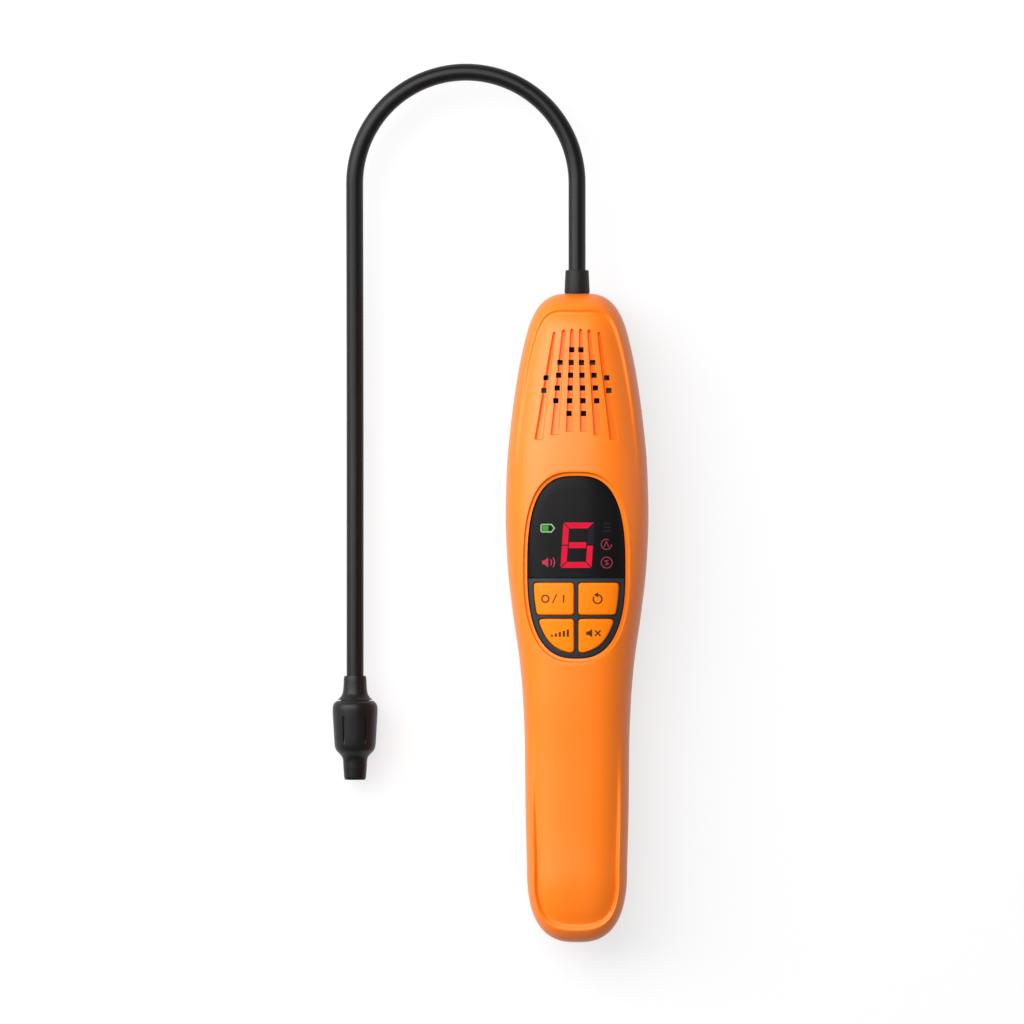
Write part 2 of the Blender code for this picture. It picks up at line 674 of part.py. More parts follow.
def oval_cutter():
    """Cuts the oval opening with a sloped edge that keeps its width along the domed face."""
    inner = oval_loop()
    outer = oval_loop(OVAL_CHAMFER)
    seat = [(p.x, p.y, front_level(p.x, p.y) - OVAL_CHAMFER) for p in inner]
    brim = [(p.x, p.y, front_level(p.x, p.y) + OVAL_BRIM) for p in outer]
    low = [(p.x, p.y, PART_LEVEL + WALL) for p in inner]
    high = [(p.x, p.y, CLEAR_ABOVE) for p in outer]
    bm = bmesh.new()
    rings = skin(bm, [low, seat, brim, high])
    bm.faces.new(rings[0])
    bm.faces.new(rings[-1])
    return piece("oval_cutter", bm, helper=True)


def groove_edges(fan, share):
    """Inner edge, outer edge and height of a groove at a share of the way down from its top."""
    top, bottom, top_drop, bottom_drop = fan
    inner = top[0] + (bottom[0] - top[0]) * share
    outer = top[1] + (bottom[1] - top[1]) * share
    drop = top_drop + (bottom_drop - top_drop) * share
    return inner * MM, outer * MM, HOUSING_TOP_Y - drop * MM


def groove_cutter(index, fan, side):
    """A groove with a pointed top end, whose floor rises a little towards its bottom end."""
    bm = bmesh.new()
    left, right = [], []
    for i in range(GRILLE_STEPS + 1):
        share = i / GRILLE_STEPS
        inner, outer, y = groove_edges(fan, share)
        left.append((side * inner, y, share))
        right.append((side * outer, y, share))
    inner, outer, y = groove_edges(fan, 0.0)
    tip = (side * (inner + outer) / 2, y + (outer - inner) / 2, 0.0)
    loop = [tip] + left + list(reversed(right))
    floor = []
    for x, y, share in loop:
        depth = GRILLE_DEPTH + (GRILLE_END_DEPTH - GRILLE_DEPTH) * share
        floor.append((x, y, front_level(x, min(y, HEAD_CAP_Y)) - depth + cap_fall(y)))
    top = [(x, y, CLEAR_ABOVE) for x, y, _ in loop]
    floor_ring, top_ring = skin(bm, [floor, top])
    steps = GRILLE_STEPS
    bm.faces.new((floor_ring[0], floor_ring[1], floor_ring[-1]))
    for i in range(1, steps + 1):
        bm.faces.new((floor_ring[i], floor_ring[i + 1], floor_ring[-i - 1], floor_ring[-i]))
    bm.faces.new(top_ring)
    return piece(f"groove_cutter_{index}_{'r' if side > 0 else 'l'}", bm, helper=True)


def cap_fall(y):
    """How much lower the front face's middle lies past the start of the head's rounded cap."""
    if y <= HEAD_CAP_Y:
        return 0.0
    fraction = 1 - (y - HEAD_CAP_Y) / (HOUSING_TOP_Y - HEAD_CAP_Y)
    fall = front_height(y) * rounded_power(fraction, FRONT_POWER) - front_height(HEAD_CAP_Y)
    return fall


def grille_hole_cutter():
    """One mesh of all the square holes, each as wide as its groove."""
    bm = bmesh.new()
    for fan, rows in zip(GRILLE_FAN_MM, GRILLE_HOLE_ROWS_MM):
        for row in rows:
            share = (fan[2] - row) / (fan[2] - fan[3])
            inner, outer, y = groove_edges(fan, share)
            for side in (1, -1):
                centre = (side * (inner + outer) / 2, y, (PART_LEVEL + WALL + CLEAR_ABOVE) / 2)
                width = outer - inner - 2 * GRILLE_HOLE_MARGIN
                size = (width, GRILLE_HOLE_TALL, CLEAR_ABOVE - PART_LEVEL - WALL)
                place = Matrix.Translation(centre) @ Matrix.Diagonal((*size, 1.0))
                bmesh.ops.create_cube(bm, size=1.0, matrix=place)
    return piece("grille_hole_cutter", bm, helper=True)


def screw_places():
    return [(side * x, y) for x, y in (HEAD_SCREW_AT, HANDLE_SCREW_AT) for side in (1, -1)]


def board_half_width():
    return min(half_width(y) for y in BOARD_Y) - WALL - BOARD_SIDE_ROOM


def board_screw_places():
    across = board_half_width() - BOARD_SCREW_INSET
    return [(side * across, y) for y in BOARD_SCREW_Y for side in (1, -1)]


def collar_hole_cutter():
    """The round hole at the head, half in each shell."""
    radius = COLLAR_BASE_RADIUS + SEAT_GAP
    inside = neck_start_y()
    profile = ((0.0, inside), (radius, inside), (radius, COLLAR_TIP_Y), (0.0, COLLAR_TIP_Y))
    return turned("collar_hole_cutter", profile, "Y", (0.0, 0.0, PART_LEVEL), steps=SIDES_LARGE)


def neck_start_y():
    """The neck's inner end, a little way behind the collar's flange."""
    return HOUSING_TOP_Y - WALL - COLLAR_FLANGE_THICK - NECK_TAIL


def build_front_shell():
    outside = front_rings(0.0, OUTER_RINGS, FACE_RINGS)
    inside = front_rings(WALL, INSIDE_OUTER_RINGS, INSIDE_FACE_RINGS)
    front = shell("front_shell", outside, inside, PART_LEVEL + SEAT_GAP / 2, "orange_shell")
    for i, (x, y) in enumerate(screw_places()):
        top = front_level(abs(x) + FRONT_BOSS_RADIUS, min(y, HEAD_CAP_Y)) - WALL / 4
        boss = rod(f"front_boss_{i}", FRONT_BOSS_RADIUS, PART_LEVEL + SEAT_GAP / 2, top, x, y)
        join(front, boss)
    for i, (x, y) in enumerate(screw_places()):
        low, high = PART_LEVEL - WALL, SCREW_REACH + SEAT_GAP
        cut(front, rod(f"front_boss_hole_{i}", SCREW_RADIUS + SEAT_GAP, low, high, x, y, steps=SIDES_SMALL))
    cut(front, oval_cutter())
    for index, fan in enumerate(GRILLE_FAN_MM):
        for side in (1, -1):
            cut(front, groove_cutter(index, fan, side))
    cut(front, grille_hole_cutter(), collar_hole_cutter())
    return front


def build_rear_shell():
    outside = back_rings(0.0, BACK_RINGS)
    inside = back_rings(WALL, INSIDE_BACK_RINGS)
    rear = shell("rear_shell", outside, inside, PART_LEVEL - SEAT_GAP / 2, "orange_shell")
    for i, (x, y) in enumerate(screw_places()):
        join(rear, rod(f"back_boss_{i}", BACK_BOSS_RADIUS, BOSS_ROOT, PART_LEVEL - SEAT_GAP / 2, x, y))
    for i, (x, y) in enumerate(board_screw_places()):
        post_top = BOARD_TOP - BOARD_THICK - SEAT_GAP
        join(rear, rod(f"board_post_{i}", POST_RADIUS, BOSS_ROOT, post_top, x, y, steps=SIDES_MIDDLE))
    for i, (x, y) in enumerate(screw_places()):
        wide, narrow, top = SCREW_HEAD_RADIUS + SEAT_GAP, SCREW_RADIUS + SEAT_GAP, PART_LEVEL + WALL
        profile = (
            (0.0, CLEAR_BELOW), (wide, CLEAR_BELOW), (wide, SCREW_SEAT), (narrow, SCREW_SEAT), (narrow, top), (0.0, top),
        )
        cut(rear, turned(f"screw_hole_{i}", profile, at=(x, y, 0.0), steps=SIDES_SMALL))
    for i, (x, y) in enumerate(board_screw_places()):
        low = BOARD_TOP - BOARD_SCREW_LENGTH - SEAT_GAP
        cut(rear, rod(f"post_hole_{i}", BOARD_SCREW_RADIUS + SEAT_GAP, low, BOARD_TOP + WALL, x, y, steps=SIDES_SMALL))
    door_hole = prism("door_hole_cutter", grown(door_outline(), SEAT_GAP), CLEAR_BELOW, door_inside_level())
    cut(rear, door_hole, collar_hole_cutter())
    return rear


def door_outline():
    return rounded_outline(rectangle(DOOR_HALF_WIDTH, *DOOR_Y), DOOR_CORNER)


def build_battery_door():
    """The door follows the back's curve, a little below it, with a ribbed thumb recess."""
    door = prism("battery_door", door_outline(), CLEAR_BELOW, door_inside_level(), "orange_shell")
    outside = below(door_level, -DOOR_SINK)
    inside = below(door_level, -DOOR_SINK - DOOR_THICK)
    low, high = DOOR_Y[0] - WALL, DOOR_Y[1] + WALL
    slab = domed_slab("door_slab", DOOR_HALF_WIDTH + WALL, low, high, inside, outside, steps=(6, 2))
    combine(door, slab, "INTERSECT")
    for i in range(DOOR_GRIP_RIDGES):
        y = DOOR_GRIP_Y + i * DOOR_GRIP_PITCH
        size = (2 * DOOR_GRIP_HALF_WIDTH, DOOR_GRIP_PITCH / 2, 2 * (DOOR_GRIP_DEPTH + DOOR_SINK))
        cut(door, block(f"door_groove_{i}", size, (0.0, y, 0.0)))
    return door


def door_inside_level():
    """A level clear of the door's inner side, up to which the shell is open."""
    return door_level(DOOR_HALF_WIDTH + SEAT_GAP, DOOR_Y[0]) + DOOR_SINK + WALL + 2 * SEAT_GAP


def door_level(x, y):
    """The back surface at the door, which lies inside the straight part of the handle."""
    return back_level(x, max(y, HANDLE_CAP_Y))


def build_panel():
    """The window and the key bezel: together one oval plug that hangs behind the front wall by its flange."""
    face = below(front_level, PANEL_SINK)
    flange_top = below(inside_level, SEAT_GAP)
    flange_low = below(inside_level, SEAT_GAP + FLANGE_THICK)
    window = prism("display_window", panel_part(oval_loop(-SEAT_GAP), True), PART_LEVEL, CLEAR_ABOVE, "dark_window")
    combine(window, oval_slab("window_slab", face, below(inside_level, PANEL_BACK + SEAT_GAP)), "INTERSECT")
    window_flange = prism("window_flange", panel_part(oval_loop(FLANGE_REACH), True), PART_LEVEL, CLEAR_ABOVE)
    combine(window_flange, oval_slab("window_flange_slab", flange_top, flange_low), "INTERSECT")
    join(window, window_flange)

    bezel = prism("keypad_bezel", panel_part(oval_loop(-SEAT_GAP), False), PART_LEVEL, CLEAR_ABOVE, "dark_bezel")
    combine(bezel, oval_slab("bezel_slab", face, below(inside_level, PANEL_BACK)), "INTERSECT")
    bezel_flange = prism("bezel_flange", panel_part(oval_loop(FLANGE_REACH), False), PART_LEVEL, CLEAR_ABOVE)
    combine(bezel_flange, oval_slab("bezel_flange_slab", flange_top, flange_low), "INTERSECT")
    cut(bezel_flange, prism("bezel_flange_room", oval_loop(-FLANGE_INNER), PART_LEVEL - WALL, CLEAR_ABOVE + WALL))
    join(bezel, bezel_flange)
    for name, side, upper in KEYS:
        opening = grown(rounded_outline(key_outline(side, upper), KEY_CORNER), SEAT_GAP)
        cut(bezel, prism(f"{name}_opening", opening, PART_LEVEL - WALL, CLEAR_ABOVE + WALL))
    return window, bezel


def panel_part(loop, upper):
    """The part of the oval above or below the line between the window and the key bezel."""
    level = PANEL_SPLIT_Y + (SEAT_GAP / 2 if upper else -SEAT_GAP / 2)
    points = []
    for i, point in enumerate(loop):
        following = loop[(i + 1) % len(loop)]
        if (point.y > level) == upper:
            points.append(point)
        if (point.y > level) != (following.y > level):
            share = (level - point.y) / (following.y - point.y)
            points.append(point.lerp(following, share))
    return points


KEYS = (
    ("key_power", -1, True),
    ("key_reset", 1, True),
    ("key_level", -1, False),
    ("key_mute", 1, False),
)


def key_post_place(side, upper):
    return side * KEY_POST_X, KEY_POST_UPPER_Y if upper else KEY_POST_LOWER_Y


def build_key(name, side, upper):
    """A keycap with a lip that stops it behind the bezel, and a post over its switch."""
    outline = rounded_outline(key_outline(side, upper), KEY_CORNER)
    lip_top = PANEL_BACK + SEAT_GAP
    lip_low = lip_top + KEY_LIP_THICK
    cap_low = below(inside_level, lip_low - KEY_LIP_THICK / 2)
    cap = prism(name, outline, PART_LEVEL, CLEAR_ABOVE, "orange_key")
    combine(cap, oval_slab(f"{name}_slab", below(front_level, KEY_SINK), cap_low), "INTERSECT")
    lip = prism(f"{name}_lip", grown(outline, KEY_LIP), PART_LEVEL, CLEAR_ABOVE)
    combine(lip, oval_slab(f"{name}_lip_slab", below(inside_level, lip_top), below(inside_level, lip_low)), "INTERSECT")
    x, y = key_post_place(side, upper)
    low = BOARD_TOP + SEAT_GAP + SWITCH_BODY_TALL + SWITCH_BUTTON_TALL + KEY_TRAVEL + SEAT_GAP / 6
    post_top = inside_level(x, y) - lip_low + KEY_LIP_THICK / 3
    post = rod(f"{name}_post", KEY_POST_RADIUS, low, post_top, x, y, steps=SIDES_SMALL)
    join(cap, lip, post)
    return cap


def build_switch(name, side, upper):
    x, y = key_post_place(side, upper)
    low = BOARD_TOP + SEAT_GAP
    top = low + SWITCH_BODY_TALL
    size = (SWITCH_SIDE, SWITCH_SIDE, SWITCH_BODY_TALL)
    body = block(name, size, (x, y, (low + top) / 2), "black_resin", edge=PACKAGE_EDGE)
    root = top - SWITCH_BUTTON_TALL
    join(body, rod(f"{name}_button", SWITCH_BUTTON_RADIUS, root, top + SWITCH_BUTTON_TALL, x, y, steps=SIDES_SMALL))
    return body


def build_board():
    """The board with its four screws and the parts soldered to it."""
    low = BOARD_TOP - BOARD_THICK
    outline = rounded_outline(rectangle(board_half_width(), *BOARD_Y), BOARD_CORNER, 2)
    board = prism("main_board", outline, low, BOARD_TOP, "board_green")
    hole_radius = BOARD_SCREW_RADIUS + SEAT_GAP
    for i, (x, y) in enumerate(board_screw_places()):
        cut(board, rod(f"board_hole_{i}", hole_radius, low - WALL, BOARD_TOP + WALL, x, y, steps=SIDES_SMALL))
        head_low = BOARD_TOP + SEAT_GAP
        head_top = head_low + BOARD_SCREW_HEAD_TALL
        profile = (
            (0.0, BOARD_TOP - BOARD_SCREW_LENGTH), (BOARD_SCREW_RADIUS, BOARD_TOP - BOARD_SCREW_LENGTH),
            (BOARD_SCREW_RADIUS, head_low), (BOARD_SCREW_HEAD, head_low),
            (BOARD_SCREW_HEAD, head_top - PACKAGE_TOP_EDGE), (BOARD_SCREW_HEAD - PACKAGE_TOP_EDGE, head_top),
            (0.0, head_top),
        )
        turned(f"board_screw_{i + 1}", profile, at=(x, y, 0.0), steps=SIDES_SMALL, finish="plated_steel")
    base = BOARD_TOP + SEAT_GAP
    for name, size, x, y in (
        ("digit_module", DIGIT_MODULE, 0.0, DIGIT_MODULE_Y),
        ("controller_chip", CHIP, 0.0, CHIP_Y),
        ("sensor_connector", CONNECTOR, CONNECTOR_X, CONNECTOR_Y),
    ):
        block(name, size, (x, y, base + size[2] / 2), "black_resin", edge=PACKAGE_EDGE)
    top = base + SOUNDER_TALL
    floor = top - SOUNDER_HOLE_DEPTH
    profile = (
        (0.0, base), (SOUNDER_RADIUS, base), (SOUNDER_RADIUS, top - PACKAGE_TOP_EDGE),
        (SOUNDER_RADIUS - PACKAGE_TOP_EDGE, top), (SOUNDER_HOLE_RADIUS, top), (SOUNDER_HOLE_RADIUS, floor),
        (0.0, floor),
    )
    turned("sounder", profile, at=(0.0, SOUNDER_Y, 0.0), steps=SIDES_MIDDLE, finish="black_resin")


def build_housing_screws():
    for i, (x, y) in enumerate(screw_places()):
        head_top = SCREW_SEAT - SEAT_GAP
        head_low = head_top - SCREW_HEAD_TALL
        slot = head_low + SCREW_SLOT_DEPTH
        profile = (
            (0.0, slot), (SCREW_SLOT_RADIUS, slot), (SCREW_SLOT_RADIUS, head_low), (SCREW_HEAD_RADIUS, head_low),
            (SCREW_HEAD_RADIUS, head_top), (SCREW_RADIUS, head_top), (SCREW_RADIUS, SCREW_REACH - SCREW_POINT),
            (0.0, SCREW_REACH),
        )
        turned(f"housing_screw_{i + 1}", profile, at=(x, y, 0.0), steps=SIDES_SMALL, finish="plated_steel")


def tray_outline(foot, grow):
    """The tray's section round the cells, with sloped shoulders that follow the domed front."""
    side = CELLS_HALF_WIDTH + SEAT_GAP
    top = CELL_LEVEL_HIGH + CELL_RADIUS + TRAY_TOP_GAP
    right = [
        (side + grow, foot), (side + grow, top - TRAY_SHOULDER_TALL + grow / 3),
        (side - TRAY_SHOULDER_WIDE + grow / 2, top + grow),
    ]
    return right + [(-x, z) for x, z in reversed(right)]


def along_y(name, outline, low_y, high_y, finish=None):
    """A prism along Y over an outline of (x, z) points."""
    bm = bmesh.new()
    rings = skin(bm, [[(x, y, z) for x, z in outline] for y in (low_y, high_y)])
    for ring in rings:
        bm.faces.new(ring)
    return piece(name, bm, finish, helper=finish is None)


def build_battery():
    """Four cells in an open tray between two contact plates."""
    low_y = CELL_END_Y - TRAY_END_ROOM
    high_y = CELL_END_Y + CELL_LENGTH + CELL_NUB_TALL + TRAY_END_ROOM / 2
    foot = CELL_LEVEL_LOW - TRAY_FOOT_DROP
    ends = (low_y - TRAY_WALL, high_y + TRAY_WALL)
    tray = along_y("battery_tray", tray_outline(foot, TRAY_WALL), *ends, "tray_plastic")
    cut(tray, along_y("tray_room", tray_outline(foot - WALL, 0.0), low_y, high_y))
    number = 0
    for level in CELL_LEVELS:
        for side in (-1, 1):
            number += 1
            nub = CELL_LENGTH + CELL_NUB_TALL
            profile = (
                (0.0, 0.0), (CELL_RADIUS - CELL_EDGE, 0.0), (CELL_RADIUS, CELL_EDGE),
                (CELL_RADIUS, CELL_LENGTH - CELL_EDGE), (CELL_RADIUS - CELL_EDGE, CELL_LENGTH),
                (CELL_NUB_RADIUS, CELL_LENGTH), (CELL_NUB_RADIUS, nub), (0.0, nub),
            )
            at = (side * CELL_PITCH / 2, CELL_END_Y, level)
            turned(f"cell_{number}", profile, "Y", at, steps=SIDES_MIDDLE, finish="cell_jacket")
    for name, y, away in (
        ("contact_plate_handle", low_y + SEAT_GAP, 1),
        ("contact_plate_head", high_y - SEAT_GAP, -1),
    ):
        size = (2 * CONTACT_HALF_WIDTH, CONTACT_THICK, CONTACT_LEVELS[1] - CONTACT_LEVELS[0])
        centre = (0.0, y + away * CONTACT_THICK / 2, sum(CONTACT_LEVELS) / 2)
        plate = block(name, size, centre, "plated_steel")
        if away > 0:
            add_springs(plate, y)


def add_springs(plate, y):
    """Cone springs, drawn solid, that press each cell's flat end."""
    root = CONTACT_THICK / 2
    reach = CELL_END_Y - SEAT_GAP - y
    profile = ((0.0, root), (SPRING_BASE_RADIUS, root), (SPRING_TIP_RADIUS, reach), (0.0, reach))
    for layer, level in enumerate(CELL_LEVELS):
        for side in (-1, 1):
            at = (side * CELL_PITCH / 2, y, level)
            join(plate, turned(f"spring_{layer}_{side}", profile, "Y", at, steps=SIDES_SMALL))


def build_collar():
    """A tapered collar round the neck, held by a flange behind the shells' wall."""
    bore = NECK_RADIUS + SEAT_GAP
    base = HOUSING_TOP_Y + SEAT_GAP + COLLAR_STEP
    wall_inside = HOUSING_TOP_Y - WALL - COLLAR_FLANGE_DROP
    flange_low = wall_inside - COLLAR_FLANGE_THICK
    profile = (
        (bore, flange_low), (COLLAR_FLANGE_RADIUS, flange_low), (COLLAR_FLANGE_RADIUS, wall_inside),
        (COLLAR_BASE_RADIUS - COLLAR_STEP, wall_inside), (COLLAR_BASE_RADIUS - COLLAR_STEP, base),
        (COLLAR_BASE_RADIUS, base), (COLLAR_TIP_RADIUS, COLLAR_TIP_Y - COLLAR_TIP_EDGE),
        (COLLAR_TIP_RADIUS - COLLAR_TIP_EDGE, COLLAR_TIP_Y), (bore, COLLAR_TIP_Y),
    )
    return turned("neck_collar", profile, "Y", (0.0, 0.0, PART_LEVEL), steps=SIDES_LARGE, finish="black_collar")


def neck_points():
    """The gooseneck's centre line, from inside the housing over the bend to the probe."""
    start = neck_start_y()
    radius = NECK_SPAN / 2
    flat = [(0.0, start + (NECK_ARC_Y - start) * i / NECK_RISE_STEPS) for i in range(NECK_RISE_STEPS)]
    for i in range(NECK_ARC_STEPS + 1):
        angle = math.pi * i / NECK_ARC_STEPS
        flat.append((radius * (math.cos(angle) - 1), NECK_ARC_Y + radius * math.sin(angle)))
    for i in range(1, NECK_DROP_STEPS + 1):
        flat.append((-NECK_SPAN, NECK_ARC_Y + (NECK_END_Y - NECK_ARC_Y) * i / NECK_DROP_STEPS))
    lengths = [0.0]
    for a, b in zip(flat, flat[1:]):
        lengths.append(lengths[-1] + math.dist(a, b))
    fall_from = NECK_ARC_Y - start
    fall_to = fall_from + math.pi * radius + NECK_ARC_Y - NECK_LEVEL_Y
    points = []
    for (x, y), length in zip(flat, lengths):
        share = smooth_step((length - fall_from) / (fall_to - fall_from))
        points.append((x, y, PART_LEVEL + (PROBE_LEVEL - PART_LEVEL) * share))
    return points


def build_gooseneck():
    curve = bpy.data.curves.new("gooseneck", "CURVE")
    curve.dimensions = "3D"
    curve.bevel_depth = NECK_RADIUS
    curve.bevel_resolution = NECK_SIDE_STEPS
    curve.use_fill_caps = True
    spline = curve.splines.new("POLY")
    points = neck_points()
    spline.points.add(len(points) - 1)
    for target, point in zip(spline.points, points):
        target.co = (*point, 1.0)
    made = bpy.data.objects.new("gooseneck", curve)
    bpy.context.scene.collection.objects.link(made)
    curve.materials.append(finish_of("black_sleeve"))
    return made


def probe_at():
    return (-NECK_SPAN, 0.0, PROBE_LEVEL)


def build_probe():
    """The probe head with its sensor, and the cap that slides off it."""
    mouth = PROBE_SOCKET_MM[0][1] * MM
    outer = [(radius * MM, y * MM) for radius, y in PROBE_SOCKET_MM]
    shoulder = outer[-1][1]
    profile = [(0.0, NECK_END_Y - SEAT_GAP), (NECK_RADIUS + SEAT_GAP, NECK_END_Y - SEAT_GAP)]
    profile += [(NECK_RADIUS + SEAT_GAP, mouth)] + outer
    profile += [(SPIGOT_RADIUS, shoulder), (SPIGOT_RADIUS, SPIGOT_END_Y), (0.0, SPIGOT_END_Y)]
    turned("probe_head", profile, "Y", probe_at(), steps=SIDES_LARGE, finish="black_probe")

    sensor_top = SPIGOT_END_Y - SEAT_GAP
    sensor_end = sensor_top - SENSOR_LENGTH
    profile = (
        (0.0, sensor_end), (SENSOR_RADIUS - SENSOR_EDGE, sensor_end), (SENSOR_RADIUS, sensor_end + SENSOR_EDGE),
        (SENSOR_RADIUS, sensor_top), (0.0, sensor_top),
    )
    turned("sensor_can", profile, "Y", probe_at(), steps=SIDES_MIDDLE, finish="plated_steel")
    disc_top = sensor_end - SEAT_GAP
    disc_low = disc_top - FILTER_THICK
    disc = ((0.0, disc_low), (SENSOR_RADIUS, disc_low), (SENSOR_RADIUS, disc_top), (0.0, disc_top))
    turned("filter_disc", disc, "Y", probe_at(), steps=SIDES_MIDDLE, finish="white_felt")

    outer = [(radius * MM, y * MM) for radius, y in PROBE_CAP_MM]
    top = outer[0][1]
    end = outer[-1][1]
    room = SPIGOT_RADIUS + SEAT_GAP
    profile = [(room, top)] + outer
    profile += [(NOZZLE_BORE_RADIUS, end), (NOZZLE_BORE_RADIUS, CAP_ROOM_END_Y - NOZZLE_TAPER), (room, CAP_ROOM_END_Y)]
    cap = turned("probe_cap", profile, "Y", probe_at(), steps=SIDES_LARGE, finish="black_probe")
    for i in range(GRIP_COUNT):
        angle = math.tau * (i + 0.5) / GRIP_COUNT
        cut(cap, grip_cutter(i, angle))
    return cap


def grip_cutter(index, angle):
    """A shallow groove along the cap, with its floor along the cap's taper."""
    bm = bmesh.new()
    low_y, high_y = GRIP_Y
    rings = []
    for y in (low_y, high_y):
        radius = cap_radius(y)
        floor = radius - GRIP_DEPTH
        rings.append(
            [
                (-GRIP_HALF_WIDTH, y, floor + GRIP_DEPTH / 2), (-GRIP_HALF_WIDTH / 2, y, floor),
                (GRIP_HALF_WIDTH / 2, y, floor), (GRIP_HALF_WIDTH, y, floor + GRIP_DEPTH / 2),
                (GRIP_HALF_WIDTH, y, radius + GRIP_DEPTH), (-GRIP_HALF_WIDTH, y, radius + GRIP_DEPTH),
            ]
        )
    made = skin(bm, rings)
    for ring in made:
        bm.faces.new(ring)
    place = Matrix.Translation(Vector(probe_at())) @ Matrix.Rotation(angle, 4, "Y")
    bmesh.ops.transform(bm, matrix=place, verts=bm.verts)
    return piece(f"grip_cutter_{index}", bm, helper=True)


def cap_radius(y):
    stations = [(place, radius) for radius, place in reversed(PROBE_CAP_MM)]
    return smooth_value(stations, y)


def main():
    clear_scene()
    build_front_shell()
    build_rear_shell()
    build_battery_door()
    build_panel()
    for name, side, upper in KEYS:
        build_key(name, side, upper)
        build_switch(name.replace("key", "switch"), side, upper)
    build_board()
    build_housing_screws()
    build_battery()
    build_collar()
    build_gooseneck()
    build_probe()


main()
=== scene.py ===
"""Looks of the handheld refrigerant leak detector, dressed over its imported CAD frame.

The housing's shells, the oval panel, its keys and marks, the collar, the gooseneck and the probe are
modelled here at full smoothness over the CAD solids that they stand for. Pieces inside the housing keep
their CAD meshes and get finishes. All sizes are real ones, in metres, in the frame's own axes: +X to the
right of the front face, +Y towards the neck and +Z out of the front face.
"""

import logging
import math
from collections.abc import Callable, Iterable
from dataclasses import dataclass
from enum import Enum

import bmesh
import bpy
from mathutils import Matrix, Vector


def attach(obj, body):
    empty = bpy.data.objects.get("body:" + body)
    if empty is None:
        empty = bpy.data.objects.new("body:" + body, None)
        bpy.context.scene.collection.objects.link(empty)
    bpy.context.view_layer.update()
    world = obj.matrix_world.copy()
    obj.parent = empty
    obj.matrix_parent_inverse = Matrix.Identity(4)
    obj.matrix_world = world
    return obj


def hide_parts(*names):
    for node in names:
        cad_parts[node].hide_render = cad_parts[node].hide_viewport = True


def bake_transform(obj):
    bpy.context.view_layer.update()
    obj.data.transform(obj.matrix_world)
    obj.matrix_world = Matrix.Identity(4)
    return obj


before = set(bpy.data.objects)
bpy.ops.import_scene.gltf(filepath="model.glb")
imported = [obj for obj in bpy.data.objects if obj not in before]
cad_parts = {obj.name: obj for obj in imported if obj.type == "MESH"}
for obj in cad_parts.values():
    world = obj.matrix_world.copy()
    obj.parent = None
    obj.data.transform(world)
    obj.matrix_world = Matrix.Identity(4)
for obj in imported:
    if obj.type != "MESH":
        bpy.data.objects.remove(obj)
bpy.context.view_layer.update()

log = logging.getLogger("leak_detector")

MM = 0.001
# Points closer than this are one point.
MERGE = 1e-7
# The gap between neighbouring mouldings.
CLEARANCE = 0.3 * MM
# How far each shell's inner rim stands from the parting level, so that no light comes through the seam.
SEAM_TOUCH = 0.004 * MM
# How far a flared cutting tool stands past the surface that it opens.
TOOL_PAST = 0.02 * MM
# How far above the parting level the tools that open the front face end.
TOOL_TOP = 30 * MM
SCREWS_AT = ((8.8 * MM, 85.0 * MM), (9.2 * MM, -24.0 * MM))
BOARD_SCREWS_AT = ((11.1 * MM, -9.5 * MM), (11.1 * MM, 76.0 * MM))
# The size of the faces that an inlay is cut into, its thickness and its height above the surface under it.
INLAY_STEP = 0.9 * MM
INLAY_THICK = 0.04 * MM
INLAY_LIFT = 0.02 * MM
# Edges that fold by more than this stay crisp in a shaded piece.
SHARP_DEG = 32.0
# Corners that open wider than this count as straight.
STRAIGHT_DEG = 150.0
# The least cosine that a sharp corner's mitre is divided by, for outlines and for pen strokes.
OUTLINE_MITRE = 0.3
PEN_MITRE = 0.4
# A rounding takes at most this part of the edge beside it: one length in 2.2.
SOFT_PARTS = 2.2

Point = tuple[float, float]
Profile = list[Point]
Ring = list[Vector]
Level = Callable[[float, float], float]
Fan = tuple[Point, Point, float, float]


class Body(Enum):
    """The CAD bodies that pieces ride on."""

    HOUSING = "housing"
    PROBE = "probe"
    CAP = "cap"
    POWER = "power_button"
    RESET = "reset_button"
    LEVEL = "level_button"
    MUTE = "mute_button"
    DOOR = "door"


class Side(Enum):
    """The two sides of the housing, as seen from the front."""

    LEFT = -1
    RIGHT = 1


class Band(Enum):
    """The bands of a front ring's way from the outline to the middle line."""

    RIM = "from the outline to the crest"
    DROP = "down the slope inside the crest"
    FACE = "from the slope's foot to the middle line"


class Axis(Enum):
    """The axis that a turned piece stands on."""

    Y = "Y"
    Z = "Z"


class Carving(Enum):
    """What a Boolean tool does to its target."""

    CUT = "DIFFERENCE"
    JOIN = "UNION"


def linear(colour: str) -> tuple[float, float, float, float]:
    """Turns an sRGB hex colour into Blender's linear one.

    Args:
        colour: six hex digits, such as "f5761e".

    Returns:
        Red, green, blue and alpha.
    """
    shares = [int(colour[i : i + 2], 16) / 255 for i in (0, 2, 4)]
    parts = [share / 12.92 if share <= 0.04045 else ((share + 0.055) / 1.055) ** 2.4 for share in shares]
    return parts[0], parts[1], parts[2], 1.0


def smooth_step(x: float) -> float:
    """Eases a value from 0 to 1."""
    t = min(max(x, 0.0), 1.0)
    return t * t * (3 - 2 * t)


def rounded_power(fraction: float, power: float) -> float:
    """Height of a superellipse at a fraction of the way from its edge to its middle."""
    return (1 - (1 - min(max(fraction, 0.0), 1.0)) ** power) ** (1 / power)


